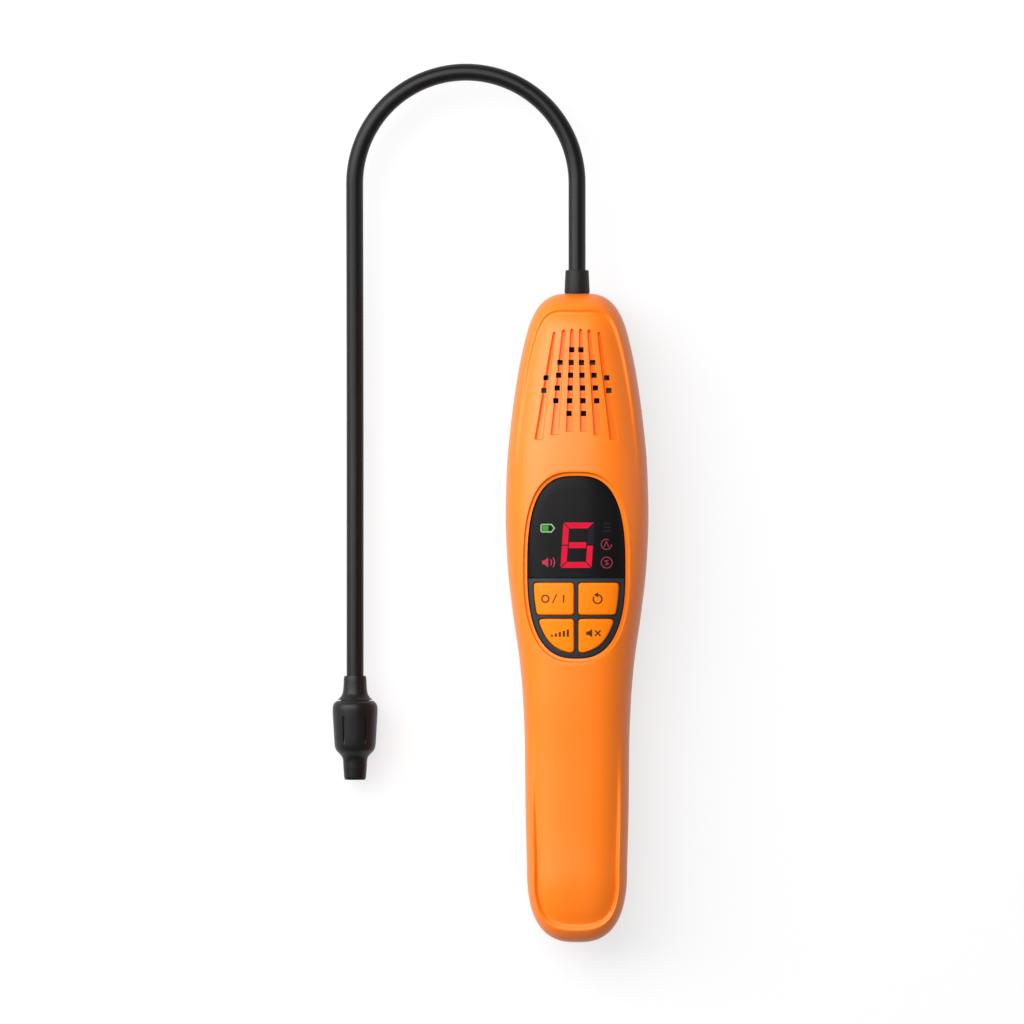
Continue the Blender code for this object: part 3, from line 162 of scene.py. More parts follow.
def smooth_value(stations_mm: Iterable[Point], place: float) -> float:
    """Reads a smooth curve through stations, which never swings past them.

    Args:
        stations_mm: places and values, in millimetres, in rising order of place.
        place: where to read the curve, in metres.

    Returns:
        The value there, in metres.
    """
    places = [at * MM for at, _ in stations_mm]
    values = [value * MM for _, value in stations_mm]
    if place <= places[0]:
        return values[0]
    if place >= places[-1]:
        return values[-1]
    slopes = [(values[i + 1] - values[i]) / (places[i + 1] - places[i]) for i in range(len(places) - 1)]
    tangents = [slopes[0]]
    for before, after in zip(slopes, slopes[1:]):
        tangents.append(2 * before * after / (before + after) if before * after > 0 else 0.0)
    tangents.append(slopes[-1])
    k = max(i for i in range(len(slopes)) if places[i] <= place)
    span = places[k + 1] - places[k]
    t = (place - places[k]) / span
    return (
        values[k] * (1 + 2 * t) * (1 - t) ** 2
        + tangents[k] * span * t * (1 - t) ** 2
        + values[k + 1] * t * t * (3 - 2 * t)
        + tangents[k + 1] * span * t * t * (t - 1)
    )


class Loft:
    """A skin that grows ring by ring out of a circle of vertices, by extruding its open edges."""

    def __init__(self, first: Ring) -> None:
        """Starts the skin at its first ring.

        Args:
            first: the ring's points, in order.
        """
        self.mesh = bmesh.new()
        self.order = self.mesh.verts.layers.int.new("order")
        self.verts = bmesh.ops.create_circle(self.mesh, segments=len(first), radius=1.0)["verts"]
        for i, vert in enumerate(self.verts):
            vert[self.order] = i
        self.edges = list(self.mesh.edges)
        self.place(first)

    def place(self, ring: Ring) -> None:
        """Moves the open ring's vertices to the ring's points."""
        for vert, point in zip(self.verts, ring):
            vert.co = point

    def grow(self, ring: Ring) -> None:
        """Extrudes the open ring to the next ring's points.

        Args:
            ring: as many points as the first ring has.
        """
        made = bmesh.ops.extrude_edge_only(self.mesh, edges=self.edges)["geom"]
        fresh = [part for part in made if isinstance(part, bmesh.types.BMVert)]
        self.verts = sorted(fresh, key=lambda vert: vert[self.order])
        known = set(fresh)
        edges = [part for part in made if isinstance(part, bmesh.types.BMEdge)]
        self.edges = [edge for edge in edges if known.issuperset(edge.verts)]
        self.place(ring)

    def grow_all(self, rings: Iterable[Ring]) -> "Loft":
        """Grows through several rings and returns the loft.

        Args:
            rings: the rings, in order.

        Returns:
            The loft itself.
        """
        for ring in rings:
            self.grow(ring)
        return self

    def cap(self) -> None:
        """Closes the open ring with one face."""
        bmesh.ops.contextual_create(self.mesh, geom=self.edges)

    def cap_first(self) -> None:
        """Closes the first ring with one face."""
        last = set(self.edges)
        rim = [edge for edge in self.mesh.edges if edge.is_boundary and edge not in last]
        bmesh.ops.contextual_create(self.mesh, geom=rim)


def loft_between(rings: list[Ring]) -> bmesh.types.BMesh:
    """Lofts through rings, with a face over each end.

    Args:
        rings: the rings, in order, all with the same count of points.

    Returns:
        The closed mesh.
    """
    loft = Loft(rings[0]).grow_all(rings[1:])
    loft.cap_first()
    loft.cap()
    return loft.mesh


def finish_mesh(mesh: bmesh.types.BMesh, name: str) -> bpy.types.Object:
    """Welds a bmesh, points its faces outwards and makes it an object at the origin.

    Args:
        mesh: the piece in the frame's axes, which is freed.
        name: the object's name.

    Returns:
        The linked object.
    """
    bmesh.ops.remove_doubles(mesh, verts=mesh.verts, dist=MERGE)
    bmesh.ops.dissolve_degenerate(mesh, edges=mesh.edges, dist=MERGE)
    bmesh.ops.recalc_face_normals(mesh, faces=mesh.faces)
    data = bpy.data.meshes.new(name)
    mesh.to_mesh(data)
    mesh.free()
    made = bpy.data.objects.new(name, data)
    bpy.context.scene.collection.objects.link(made)
    return made


def dress(made: bpy.types.Object, material: bpy.types.Material) -> bpy.types.Object:
    """Gives a piece its finish, smooth faces and crisp edges where it folds.

    Args:
        made: the piece.
        material: its finish.

    Returns:
        The same piece.
    """
    made.data.materials.clear()
    made.data.materials.append(material)
    made.data.shade_smooth()
    made.data.set_sharp_from_angle(angle=math.radians(SHARP_DEG))
    return made


def settle(
    made: bpy.types.Object, body: Body, nodes: Iterable[str] = ()
) -> bpy.types.Object:
    """Puts a finished piece on its CAD body and hides the CAD pieces that it stands for.

    Args:
        made: the piece.
        body: the body that it rides on.
        nodes: the CAD nodes that it replaces.

    Returns:
        The same piece.
    """
    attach(made, body.value)
    if nodes:
        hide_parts(*nodes)
    log.info("%s on %s: %d faces", made.name, body.value, len(made.data.polygons))
    return made


def carve(
    target: bpy.types.Object, tools: list[bpy.types.Object], carving: Carving = Carving.CUT
) -> None:
    """Cuts tools out of a target, or joins them to it, one after another, and removes the tools.

    Args:
        target: the piece that is changed.
        tools: the tools, which are removed.
        carving: cut or join.
    """
    for tool in tools:
        step = target.modifiers.new(tool.name, "BOOLEAN")
        step.operation = carving.value
        step.solver = "EXACT"
        step.object = tool
    bpy.context.view_layer.update()
    result = target.evaluated_get(bpy.context.evaluated_depsgraph_get())
    carved = bpy.data.meshes.new_from_object(result)
    target.modifiers.clear()
    target.data = carved
    for tool in tools:
        bpy.data.objects.remove(tool)


def grown(outline: Ring, by: float) -> Ring:
    """The closed outline moved outwards, or inwards where by is negative.

    Args:
        outline: the closed outline.
        by: how far it moves.

    Returns:
        The moved outline.
    """
    area = sum(a.x * b.y - b.x * a.y for a, b in zip(outline, outline[1:] + outline[:1]))
    outward = -1.0 if area > 0 else 1.0
    moved = []
    for i, point in enumerate(outline):
        before = (point - outline[i - 1]).normalized()
        after = (outline[(i + 1) % len(outline)] - point).normalized()
        first = Vector((-before.y, before.x)) * outward
        second = Vector((-after.y, after.x)) * outward
        middle = (first + second).normalized()
        moved.append(point + middle * (by / max(middle.dot(first), OUTLINE_MITRE)))
    return moved


def rounded_outline(points: Ring, radius: float, steps: int = 6) -> Ring:
    """The outline with each corner that turns by more than 30 degrees replaced by an arc.

    Args:
        points: the closed outline.
        radius: the arcs' radius.
        steps: how many parts an arc has.

    Returns:
        The rounded outline.
    """
    made = []
    for i, corner in enumerate(points):
        back = (points[i - 1] - corner).normalized()
        ahead = (points[(i + 1) % len(points)] - corner).normalized()
        inside = math.acos(min(max(back.dot(ahead), -1.0), 1.0))
        if inside > math.radians(STRAIGHT_DEG):
            made.append(corner)
            continue
        reach = radius / math.tan(inside / 2)
        middle = corner + (back + ahead).normalized() * (radius / math.sin(inside / 2))
        start = corner + back * reach - middle
        turn = start.angle_signed(corner + ahead * reach - middle)
        made += [middle + Matrix.Rotation(-turn * k / steps, 2) @ start for k in range(steps + 1)]
    return made


def refined(outline: Ring, spacing: float) -> Ring:
    """The closed outline with points added, so that none lie further apart than the spacing.

    Args:
        outline: the closed outline.
        spacing: the longest step.

    Returns:
        The outline with more points.
    """
    made = []
    for a, b in zip(outline, outline[1:] + outline[:1]):
        parts = max(1, math.ceil((b - a).length / spacing))
        made += [a.lerp(b, k / parts) for k in range(parts)]
    return made


def raised(outline: Ring, level: Level, lift: float = 0.0) -> Ring:
    """A flat outline laid on a surface, at a height above it."""
    return [Vector((p.x, p.y, level(p.x, p.y) + lift)) for p in outline]


def flat_ring(outline: Ring, level: float) -> Ring:
    """A flat outline at one level."""
    return [Vector((p.x, p.y, level)) for p in outline]


def toward(ring: Ring, centre: Vector, share: float) -> Ring:
    """A ring of points moved a share of the way to a centre."""
    return [p.lerp(centre, share) for p in ring]


def closing(
    outline: Ring, shares: Iterable[float], centre: Vector, level: Level, lift: float
) -> list[Ring]:
    """Copies of an outline on a surface, each moved its share of the way to a centre."""
    return [raised(toward(outline, centre, share), level, lift) for share in shares]


def softened(profile: Profile, radius: float, steps: int = 3) -> Profile:
    """A turned profile, in metres, with its inner corners rounded by as much as each has room for.

    Args:
        profile: radius and height pairs.
        radius: the roundings' reach.
        steps: parts per rounding.

    Returns:
        The profile with its corners rounded.
    """
    points = [Vector(p) for p in profile]
    made = [points[0]]
    for before, corner, after in zip(points, points[1:], points[2:]):
        back, ahead = before - corner, after - corner
        reach = min(radius, back.length / SOFT_PARTS, ahead.length / SOFT_PARTS)
        start, end = corner + back.normalized() * reach, corner + ahead.normalized() * reach
        for k in range(steps + 1):
            t = k / steps
            made.append(start * (1 - t) ** 2 + corner * 2 * t * (1 - t) + end * t * t)
    made.append(points[-1])
    return [(p.x, p.y) for p in made]


def turned(name: str, profile: Profile, axis: Axis, at: Vector, steps: int) -> bpy.types.Object:
    """A solid turned from a profile.

    Args:
        name: the object's name.
        profile: radius and height in metres, with both ends on the axis, or with neither to make a tube.
        axis: the axis that it stands on.
        at: where the profile's zero height lies.
        steps: how many sides the solid has.

    Returns:
        The object.
    """
    mesh = bmesh.new()
    start = mesh.verts.new((profile[0][0], 0.0, profile[0][1]))
    last = start
    for radius, height in profile[1:]:
        made = bmesh.ops.extrude_vert_indiv(mesh, verts=[last])["verts"][0]
        made.co = (radius, 0.0, height)
        last = made
    if profile[0][0] > 0 and profile[-1][0] > 0:
        bmesh.ops.contextual_create(mesh, geom=[start, last])
    bmesh.ops.spin(
        mesh,
        geom=mesh.verts[:] + mesh.edges[:],
        cent=(0, 0, 0),
        axis=(0, 0, 1),
        angle=math.tau,
        steps=steps,
        use_merge=True,
    )
    turn = Matrix.Rotation(math.radians(-90), 4, "X") if axis is Axis.Y else Matrix.Identity(4)
    bmesh.ops.transform(mesh, matrix=Matrix.Translation(at) @ turn, verts=mesh.verts)
    return finish_mesh(mesh, name)


def box_between(name: str, low: Vector, high: Vector) -> bpy.types.Object:
    """A plain block for cutting, between two corners.

    Args:
        name: the object's name.
        low: its lowest corner.
        high: its highest corner.

    Returns:
        The linked object.
    """
    mesh = bmesh.new()
    size = high - low
    place = Matrix.Translation((low + high) / 2) @ Matrix.Diagonal((size.x, size.y, size.z, 1.0))
    bmesh.ops.create_cube(mesh, size=1.0, matrix=place)
    return finish_mesh(mesh, name)


@dataclass(frozen=True)
class HousingForm:
    """The housing's shape: its outline, the front dome with its sunken ends, and the rounded back."""

    top_y: float = 102.0 * MM
    bottom_y: float = -102.4 * MM
    head_cap_y: float = 84.0 * MM
    handle_cap_y: float = -78.0 * MM
    head_power: float = 3.5
    handle_power: float = 2.65
    head_flare: float = -0.235
    side_mm: tuple[Point, ...] = (
        (-78.0, 15.8), (-60.0, 16.25), (-40.0, 16.45), (-25.0, 17.05), (-13.5, 18.1), (1.6, 20.25),
        (16.7, 21.9), (31.8, 22.5), (46.9, 22.1), (62.0, 20.7), (77.0, 18.55), (84.0, 17.15),
    )
    front_mm: tuple[Point, ...] = (
        (-103.0, 12.6), (-80.0, 13.6), (-45.0, 14.2), (-20.0, 16.2), (10.0, 18.7), (45.0, 19.0),
        (80.0, 17.4), (103.0, 15.4),
    )
    part_level: float = 17.0 * MM
    wall: float = 2.2 * MM
    front_power: float = 2.6
    back_bulge: float = 17.8 * MM
    back_power: float = 3.5
    rim_side: float = 2.35 * MM
    rim_head: float = 5.2 * MM
    rim_handle: float = 3.9 * MM
    slope_side: float = 1.25 * MM
    slope_head: float = 1.25 * MM
    slope_handle: float = 2.1 * MM
    # The drawn slope is wider than the listed one by this factor, and one part of its width of so many lies
    # outside the listed crest.
    slope_stretch: float = 1.2
    slope_parts: float = 10.0
    sink_head: float = 1.5 * MM
    sink_handle: float = 2.1 * MM
    sink_head_from: float = 22.0 * MM
    sink_handle_from: float = -28.0 * MM
    oval_y: float = 14.5 * MM
    cap_steps: int = 22
    side_steps: int = 60

    def half_width(self, y: float) -> float:
        """Half width of the housing at a height along it."""
        return smooth_value(self.side_mm, y)

    def front_height(self, y: float) -> float:
        """Height of the front dome's middle above the parting level."""
        return smooth_value(self.front_mm, y)

    def sink(self, y: float) -> float:
        """How far the front face lies below its raised edge.

        Args:
            y: the height along the housing.

        Returns:
            The depth, 0 around the oval.
        """
        start = self.sink_head_from
        head = self.sink_head * smooth_step((y - start) / (self.head_cap_y - start))
        start = self.sink_handle_from
        return head + self.sink_handle * smooth_step((start - y) / (start - self.handle_cap_y))

    def front_level(self, x: float, y: float) -> float:
        """Height of the front face at a point between the two end caps."""
        rise = self.front_height(y) * rounded_power(1 - abs(x) / self.half_width(y), self.front_power)
        return self.part_level + rise - self.sink(y)

    def inside_level(self, x: float, y: float) -> float:
        """Height of the front shell's inner surface.

        Args:
            x: the place across.
            y: the place along.

        Returns:
            The height there.
        """
        fraction = 1 - abs(x) / (self.half_width(y) - self.wall)
        rise = (self.front_height(y) - self.wall) * rounded_power(fraction, self.front_power)
        return self.part_level + rise - self.sink(y)

    def back_level(self, x: float, y: float) -> float:
        """Height of the back surface over the straight part of the handle."""
        fraction = 1 - abs(x) / self.half_width(max(y, self.handle_cap_y))
        return max(self.part_level - self.back_bulge * rounded_power(fraction, self.back_power), 0.0)

    def outline(self, inset: float = 0.0) -> tuple[Ring, Ring]:
        """The housing's outline as seen from the front, anticlockwise, with its inward normals.

        Args:
            inset: how far inside the real outline it lies.

        Returns:
            The outline's points and the inward normal at each.
        """
        right = []
        for i in range(self.cap_steps):
            angle = math.radians(90) * (1 - i / self.cap_steps)
            across = self.half_width(self.handle_cap_y) * math.cos(angle) ** (2 / self.handle_power)
            along = (self.handle_cap_y - self.bottom_y) * math.sin(angle) ** (2 / self.handle_power)
            right.append(Vector((across if i else 0.0, self.handle_cap_y - along)))
        for i in range(self.side_steps + 1):
            y = self.handle_cap_y + (self.head_cap_y - self.handle_cap_y) * i / self.side_steps
            right.append(Vector((self.half_width(y), y)))
        for i in range(1, self.cap_steps + 1):
            angle = math.radians(90) * i / self.cap_steps
            along = (self.top_y - self.head_cap_y) * math.sin(angle) ** (2 / self.head_power)
            side = self.half_width(self.head_cap_y) + self.head_flare * along
            across = side * max(math.cos(angle), 0.0) ** (2 / self.head_power)
            right.append(Vector((across if i < self.cap_steps else 0.0, self.head_cap_y + along)))
        loop = right + [Vector((-p.x, p.y)) for p in reversed(right[1:-1])]
        normals = []
        for i in range(len(loop)):
            run = loop[(i + 1) % len(loop)] - loop[i - 1]
            normals.append(Vector((-run.y, run.x)).normalized())
        return [p + n * inset for p, n in zip(loop, normals)], normals

    def spine(self, point: Vector) -> Vector:
        """The point on the housing's middle line that an outline point looks to."""
        return Vector((0.0, min(max(point.y, self.handle_cap_y), self.head_cap_y)))

    def rim(self, point: Vector, normal: Vector) -> float:
        """Width of the band outside the raised edge's crest."""
        end = self.rim_head if point.y > self.oval_y else self.rim_handle
        return self.rim_side + (end - self.rim_side) * normal.y**2

    def slope(self, point: Vector, normal: Vector) -> float:
        """Width of the slope from the crest down to the sunken face."""
        end = self.slope_head if point.y > self.oval_y else self.slope_handle
        return self.slope_side + (end - self.slope_side) * normal.y**2

    def front_ring(self, depth: float, band: Band, share: float) -> Ring:
        """One ring of the front surface.

        Args:
            depth: how far below the outer skin it lies.
            band: the part of the way that it lies on.
            share: how far across that band.

        Returns:
            The ring's points.
        """
        loop, normals = self.outline(depth)
        ring = []
        for point, normal in zip(loop, normals):
            spine = self.spine(point)
            length = (spine - point).length
            slope = self.slope(point, normal) * self.slope_stretch
            crest = self.rim(point, normal) - slope / self.slope_parts
            if band is Band.RIM:
                distance = share * crest
            elif band is Band.DROP:
                distance = crest + share * slope
            else:
                distance = crest + slope + (length - crest - slope) * share
            fraction = distance / length
            place = point.lerp(spine, fraction)
            drop = self.sink(place.y) * smooth_step((distance - crest) / slope)
            rise = (self.front_height(place.y) - depth) * rounded_power(fraction, self.front_power) - drop
            ring.append(Vector((place.x, place.y, self.part_level + rise)))
        return ring

    def back_ring(self, depth: float, share: float) -> Ring:
        """One ring of the back surface, a share of the way from the outline to the flat it rests on.

        Args:
            depth: how far inside the outer skin it lies.
            share: how far in it lies.

        Returns:
            The ring's points.
        """
        loop, _ = self.outline(depth)
        bulge = self.back_bulge - depth
        flat_share = (self.part_level - depth) / bulge
        flat_from = 1 - (1 - flat_share**self.back_power) ** (1 / self.back_power)
        fraction = share * flat_from
        level = self.part_level - bulge * rounded_power(fraction, self.back_power)
        places = [point.lerp(self.spine(point), fraction) for point in loop]
        return flat_ring(places, depth if share >= 1.0 else level)

    def back_middle(self, depth: float) -> Ring:
        """The ring of the back that has closed onto the middle line."""
        loop, _ = self.outline(depth)
        return flat_ring([self.spine(point) for point in loop], depth)


@dataclass(frozen=True)
class PanelForm:
    """The oval panel's shape in plan and the keys' outlines in it."""

    y: float = 14.5 * MM
    half_width: float = 15.4 * MM
    up: float = 29.9 * MM
    down: float = 27.4 * MM
    up_power: float = 2.8
    down_power: float = 2.55
    steps: int = 30
    sink: float = 1.1 * MM
    back: float = 0.6 * MM
    flange_thick: float = 0.9 * MM
    flange_reach: float = 1.5 * MM
    flange_inner: float = 1.2 * MM
    split_y: float = 12.4 * MM
    column_gap: float = 1.48 * MM
    key_top_y: float = 10.87 * MM
    key_middle_y: float = 0.2 * MM
    row_gap: float = 1.35 * MM
    key_margin: float = 2.0 * MM
    key_corner: float = 0.9 * MM
    # Points of the key's curve nearer to a corner than this many corner radii give way to its rounding.
    key_corner_room: float = 1.15
    key_tip_x: float = 2.6 * MM
    key_sink: float = 0.5 * MM
    side_steps: int = 14

    def half_width_at(self, y: float, grow: float = 0.0) -> float:
        """Half width of the oval at a height.

        Args:
            y: the height.
            grow: how far outside the oval the line lies.

        Returns:
            The half width there.
        """
        reach = (self.up if y > self.y else self.down) + grow
        power = self.up_power if y > self.y else self.down_power
        share = min(abs(y - self.y) / reach, 1.0)
        return (self.half_width + grow) * (1 - share**power) ** (1 / power)

    def loop(self, grow: float = 0.0) -> Ring:
        """The oval's outline, anticlockwise.

        Args:
            grow: how far outside the oval the line lies.

        Returns:
            The outline's points.
        """
        made = []
        for i in range(4 * self.steps):
            angle = math.tau * i / (4 * self.steps)
            up = math.sin(angle) > 0
            power = self.up_power if up else self.down_power
            reach = (self.up if up else -self.down) + (grow if up else -grow)
            across = math.copysign(abs(math.cos(angle)) ** (2 / power), math.cos(angle))
            along = abs(math.sin(angle)) ** (2 / power)
            made.append(Vector(((self.half_width + grow) * across, self.y + reach * along)))
        return made

    def key_outline(self, side: int, upper: bool) -> Ring:
        """Plan outline of one key: straight at the middle gaps and curved along the oval.

        Args:
            side: -1 for a left key, 1 for a right one.
            upper: whether it is in the upper row.

        Returns:
            The closed outline.
        """
        top = self.key_top_y if upper else self.key_middle_y - self.row_gap / 2
        bottom = self.key_middle_y + self.row_gap / 2 if upper else self.y - self.down + self.key_margin
        inner = self.column_gap / 2
        curve = []
        for i in range(self.side_steps + 1):
            y = top + (bottom - top) * (i / self.side_steps)
            curve.append(Vector((max(self.half_width_at(y, -self.key_margin), self.key_tip_x), y)))
        room = self.key_corner * self.key_corner_room
        clear = [p for p in curve if min((p - curve[0]).length, (p - curve[-1]).length) > room]
        points = [curve[0]] + clear + [curve[-1], Vector((inner, bottom)), Vector((inner, top))]
        return rounded_outline([Vector((side * p.x, p.y)) for p in points], self.key_corner)


FORM = HousingForm()
PANEL = PanelForm()


def bar(low: Point, high: Point) -> Ring:
    """A rectangle between two corners given in millimetres."""
    (x0, y0), (x1, y1) = low, high
    return [Vector((x * MM, y * MM)) for x, y in ((x0, y0), (x1, y0), (x1, y1), (x0, y1))]


def arc(centre: Point, radius: float, start_deg: float, end_deg: float, steps: int) -> Ring:
    """Points along an arc, from sizes in millimetres.

    Args:
        centre: the arc's centre.
        radius: its radius.
        start_deg: the angle that it starts at, from +X.
        end_deg: the angle that it ends at.
        steps: how many parts it has.

    Returns:
        The arc's points, in metres.
    """
    made = []
    for k in range(steps + 1):
        angle = math.radians(start_deg + (end_deg - start_deg) * k / steps)
        x = centre[0] + radius * math.cos(angle)
        y = centre[1] + radius * math.sin(angle)
        made.append(Vector((x, y)) * MM)
    return made


def cone(at: Point, reach: Point, half: Point) -> Ring:
    """A loudspeaker's cone as seen from the side, from sizes in millimetres.

    Args:
        at: the middle of its closed end.
        reach: how far to the right its neck and its mouth lie.
        half: half the height of its neck and of its mouth.

    Returns:
        The closed outline.
    """
    x, y = at
    neck, mouth = x + reach[0], x + reach[1]
    low, wide = half
    corners = [(x, y - low), (neck, y - low), (mouth, y - wide)]
    corners += [(mouth, y + wide), (neck, y + low), (x, y + low)]
    return [Vector(p) * MM for p in corners]


def stroke(line: Ring, width_mm: float) -> Ring:
    """The outline of a line drawn with a pen.

    Args:
        line: the line's points, in metres.
        width_mm: the pen's width.

    Returns:
        The closed outline, down one side of the line and back along the other.
    """
    left, right = [], []
    for i, point in enumerate(line):
        before = (point - line[i - 1]).normalized() if i else (line[1] - point).normalized()
        after = (line[i + 1] - point).normalized() if i < len(line) - 1 else before
        run = (before + after).normalized()
        side = Vector((-run.y, run.x)) * (width_mm * MM / 2 / max(run.dot(before), PEN_MITRE))
        left.append(point + side)
        right.append(point - side)
    return left + list(reversed(right))


def inlay(name: str, shapes: list[Ring], level: Level) -> bpy.types.Object:
    """Lays thin flat shapes on a domed surface, cut into small faces so that they follow it.

    Args:
        name: the object's name.
        shapes: closed outlines in plan.
        level: the surface's height.

    Returns:
        The object.
    """
    mesh = bmesh.new()
    for shape in shapes:
        made = bmesh.ops.create_circle(mesh, cap_ends=True, segments=len(shape), radius=1.0)["verts"]
        for vert, point in zip(made, shape):
            vert.co = (point.x, point.y, 0.0)
    points = [point for shape in shapes for point in shape]
    for axis in (0, 1):
        first, last = min(p[axis] for p in points), max(p[axis] for p in points)
        for k in range(1, math.ceil((last - first) / INLAY_STEP)):
            plane = Vector((1.0, 0.0, 0.0)) if axis == 0 else Vector((0.0, 1.0, 0.0))
            cut = mesh.verts[:] + mesh.edges[:] + mesh.faces[:]
            at = plane * (first + k * INLAY_STEP)
            bmesh.ops.bisect_plane(mesh, geom=cut, plane_co=at, plane_no=plane)
    for vert in mesh.verts:
        vert.co.z = level(vert.co.x, vert.co.y) + INLAY_LIFT
    bmesh.ops.recalc_face_normals(mesh, faces=mesh.faces)
    for face in mesh.faces:
        if face.normal.z < 0:
            face.normal_flip()
    bmesh.ops.solidify(mesh, geom=mesh.faces[:], thickness=INLAY_THICK)
    return finish_mesh(mesh, name)


def add_node(
    tree: bpy.types.NodeTree,
    kind: str,
    settings: dict[str, object] | None = None,
    links: dict[str, object] | None = None,
) -> bpy.types.Node:
    """Adds a shader node.

    Args:
        tree: the material's or world's node tree.
        kind: the node's type.
        settings: values by the name of an input socket or of a property.
        links: output sockets by the name of the input that each feeds.

    Returns:
        The node.
    """
    node = tree.nodes.new(kind)
    for name, value in (settings or {}).items():
        if name in node.inputs:
            node.inputs[name].default_value = value
        else:
            setattr(node, name, value)
    for name, output in (links or {}).items():
        tree.links.new(output, node.inputs[name])
    return node


def new_material(name: str) -> tuple[bpy.types.Material, bpy.types.NodeTree, bpy.types.Node]:
    """An empty material with its Principled shader.

    Args:
        name: the material's name.

    Returns:
        The material, its node tree and the shader.
    """
    material = bpy.data.materials.new(name)
    material.use_nodes = True
    tree = material.node_tree
    return material, tree, tree.nodes["Principled BSDF"]


def noise(
    tree: bpy.types.NodeTree, place: bpy.types.NodeSocket, size_mm: float, detail: float
) -> bpy.types.NodeSocket:
    """Grey clouds of a size, in millimetres, over the places given."""
    settings = {"Scale": 1 / (size_mm * MM), "Detail": detail}
    return add_node(tree, "ShaderNodeTexNoise", settings, {"Vector": place}).outputs["Fac"]


def spread(
    tree: bpy.types.NodeTree, value: bpy.types.NodeSocket, low: float, high: float
) -> bpy.types.NodeSocket:
    """Grey values from 0 to 1 spread over a range."""
    settings = {"To Min": low, "To Max": high}
    return add_node(tree, "ShaderNodeMapRange", settings, {"Value": value}).outputs["Result"]


# The colour sockets of a colour mix, which share their names with its plain number sockets.
MIX_FIRST, MIX_SECOND, MIX_RESULT = 6, 7, 2


@dataclass(frozen=True)
class MouldedPlastic:
    """A moulded plastic: a faint spark-eroded grain that breaks up its gloss, and slow drifts of tone."""

    name: str
    colour: str
    drift_colour: str
    roughness: float
    roughness_drift: float = 0.05
    specular: float = 0.5
    grain_mm: float = 0.5
    grain_height_mm: float = 0.004
    grain_detail: float = 3.0
    drift_mm: float = 16.0
    drift_detail: float = 2.0

    def material(self) -> bpy.types.Material:
        """Builds the material.

        Returns:
            The material.
        """
        material, tree, shader = new_material(self.name)
        place = add_node(tree, "ShaderNodeTexCoord").outputs["Object"]
        drift = noise(tree, place, self.drift_mm, self.drift_detail)
        tone = add_node(tree, "ShaderNodeMix", {"data_type": "RGBA"}, {"Factor": drift})
        tone.inputs[MIX_FIRST].default_value = linear(self.colour)
        tone.inputs[MIX_SECOND].default_value = linear(self.drift_colour)
        tree.links.new(tone.outputs[MIX_RESULT], shader.inputs["Base Color"])
        low, high = self.roughness - self.roughness_drift, self.roughness + self.roughness_drift
        tree.links.new(spread(tree, drift, low, high), shader.inputs["Roughness"])
        grain = noise(tree, place, self.grain_mm, self.grain_detail)
        settings = {"Strength": 1.0, "Distance": self.grain_height_mm * MM}
        bump = add_node(tree, "ShaderNodeBump", settings, {"Height": grain})
        tree.links.new(bump.outputs["Normal"], shader.inputs["Normal"])
        shader.inputs["Specular IOR Level"].default_value = self.specular
        return material


@dataclass(frozen=True)
class LitFigure:
    """A lit window of a display: an even glow of one colour that drifts a little from place to place."""

    name: str
    colour: str
    drift_mm: float = 1.5
    drift_detail: float = 1.0
    drift: float = 0.08
    unlit_colour: str = "020202"
    roughness: float = 0.5

    def material(self) -> bpy.types.Material:
        """Builds the material.

        Returns:
            The material.
        """
        material, tree, shader = new_material(self.name)
        place = add_node(tree, "ShaderNodeTexCoord").outputs["Object"]
        cloud = noise(tree, place, self.drift_mm, self.drift_detail)
        shine = spread(tree, cloud, 1 - self.drift, 1 + self.drift)
        tree.links.new(shine, shader.inputs["Emission Strength"])
        shader.inputs["Emission Color"].default_value = linear(self.colour)
        shader.inputs["Base Color"].default_value = linear(self.unlit_colour)
        shader.inputs["Roughness"].default_value = self.roughness
        shader.inputs["Specular IOR Level"].default_value = 0.0
        return material


@dataclass(frozen=True)
class BrushedMetal:
    """A plated or rolled metal: fine lines along one axis that stretch its highlights."""

    name: str
    colour: str
    roughness: float
    smoother: float = 0.06
    rougher: float = 0.08
    line_mm: float = 0.15
    line_detail: float = 2.0
    line_length: float = 18.0

    def material(self) -> bpy.types.Material:
        """Builds the material.

        Returns:
            The material.
        """
        material, tree, shader = new_material(self.name)
        place = add_node(tree, "ShaderNodeTexCoord").outputs["Object"]
        scale = (1.0, 1 / self.line_length, 1.0)
        stretch = add_node(tree, "ShaderNodeMapping", {"Scale": scale}, {"Vector": place})
        lines = noise(tree, stretch.outputs["Vector"], self.line_mm, self.line_detail)
        gloss = spread(tree, lines, self.roughness - self.smoother, self.roughness + self.rougher)
        tree.links.new(gloss, shader.inputs["Roughness"])
        shader.inputs["Base Color"].default_value = linear(self.colour)
        shader.inputs["Metallic"].default_value = 1.0
        return material


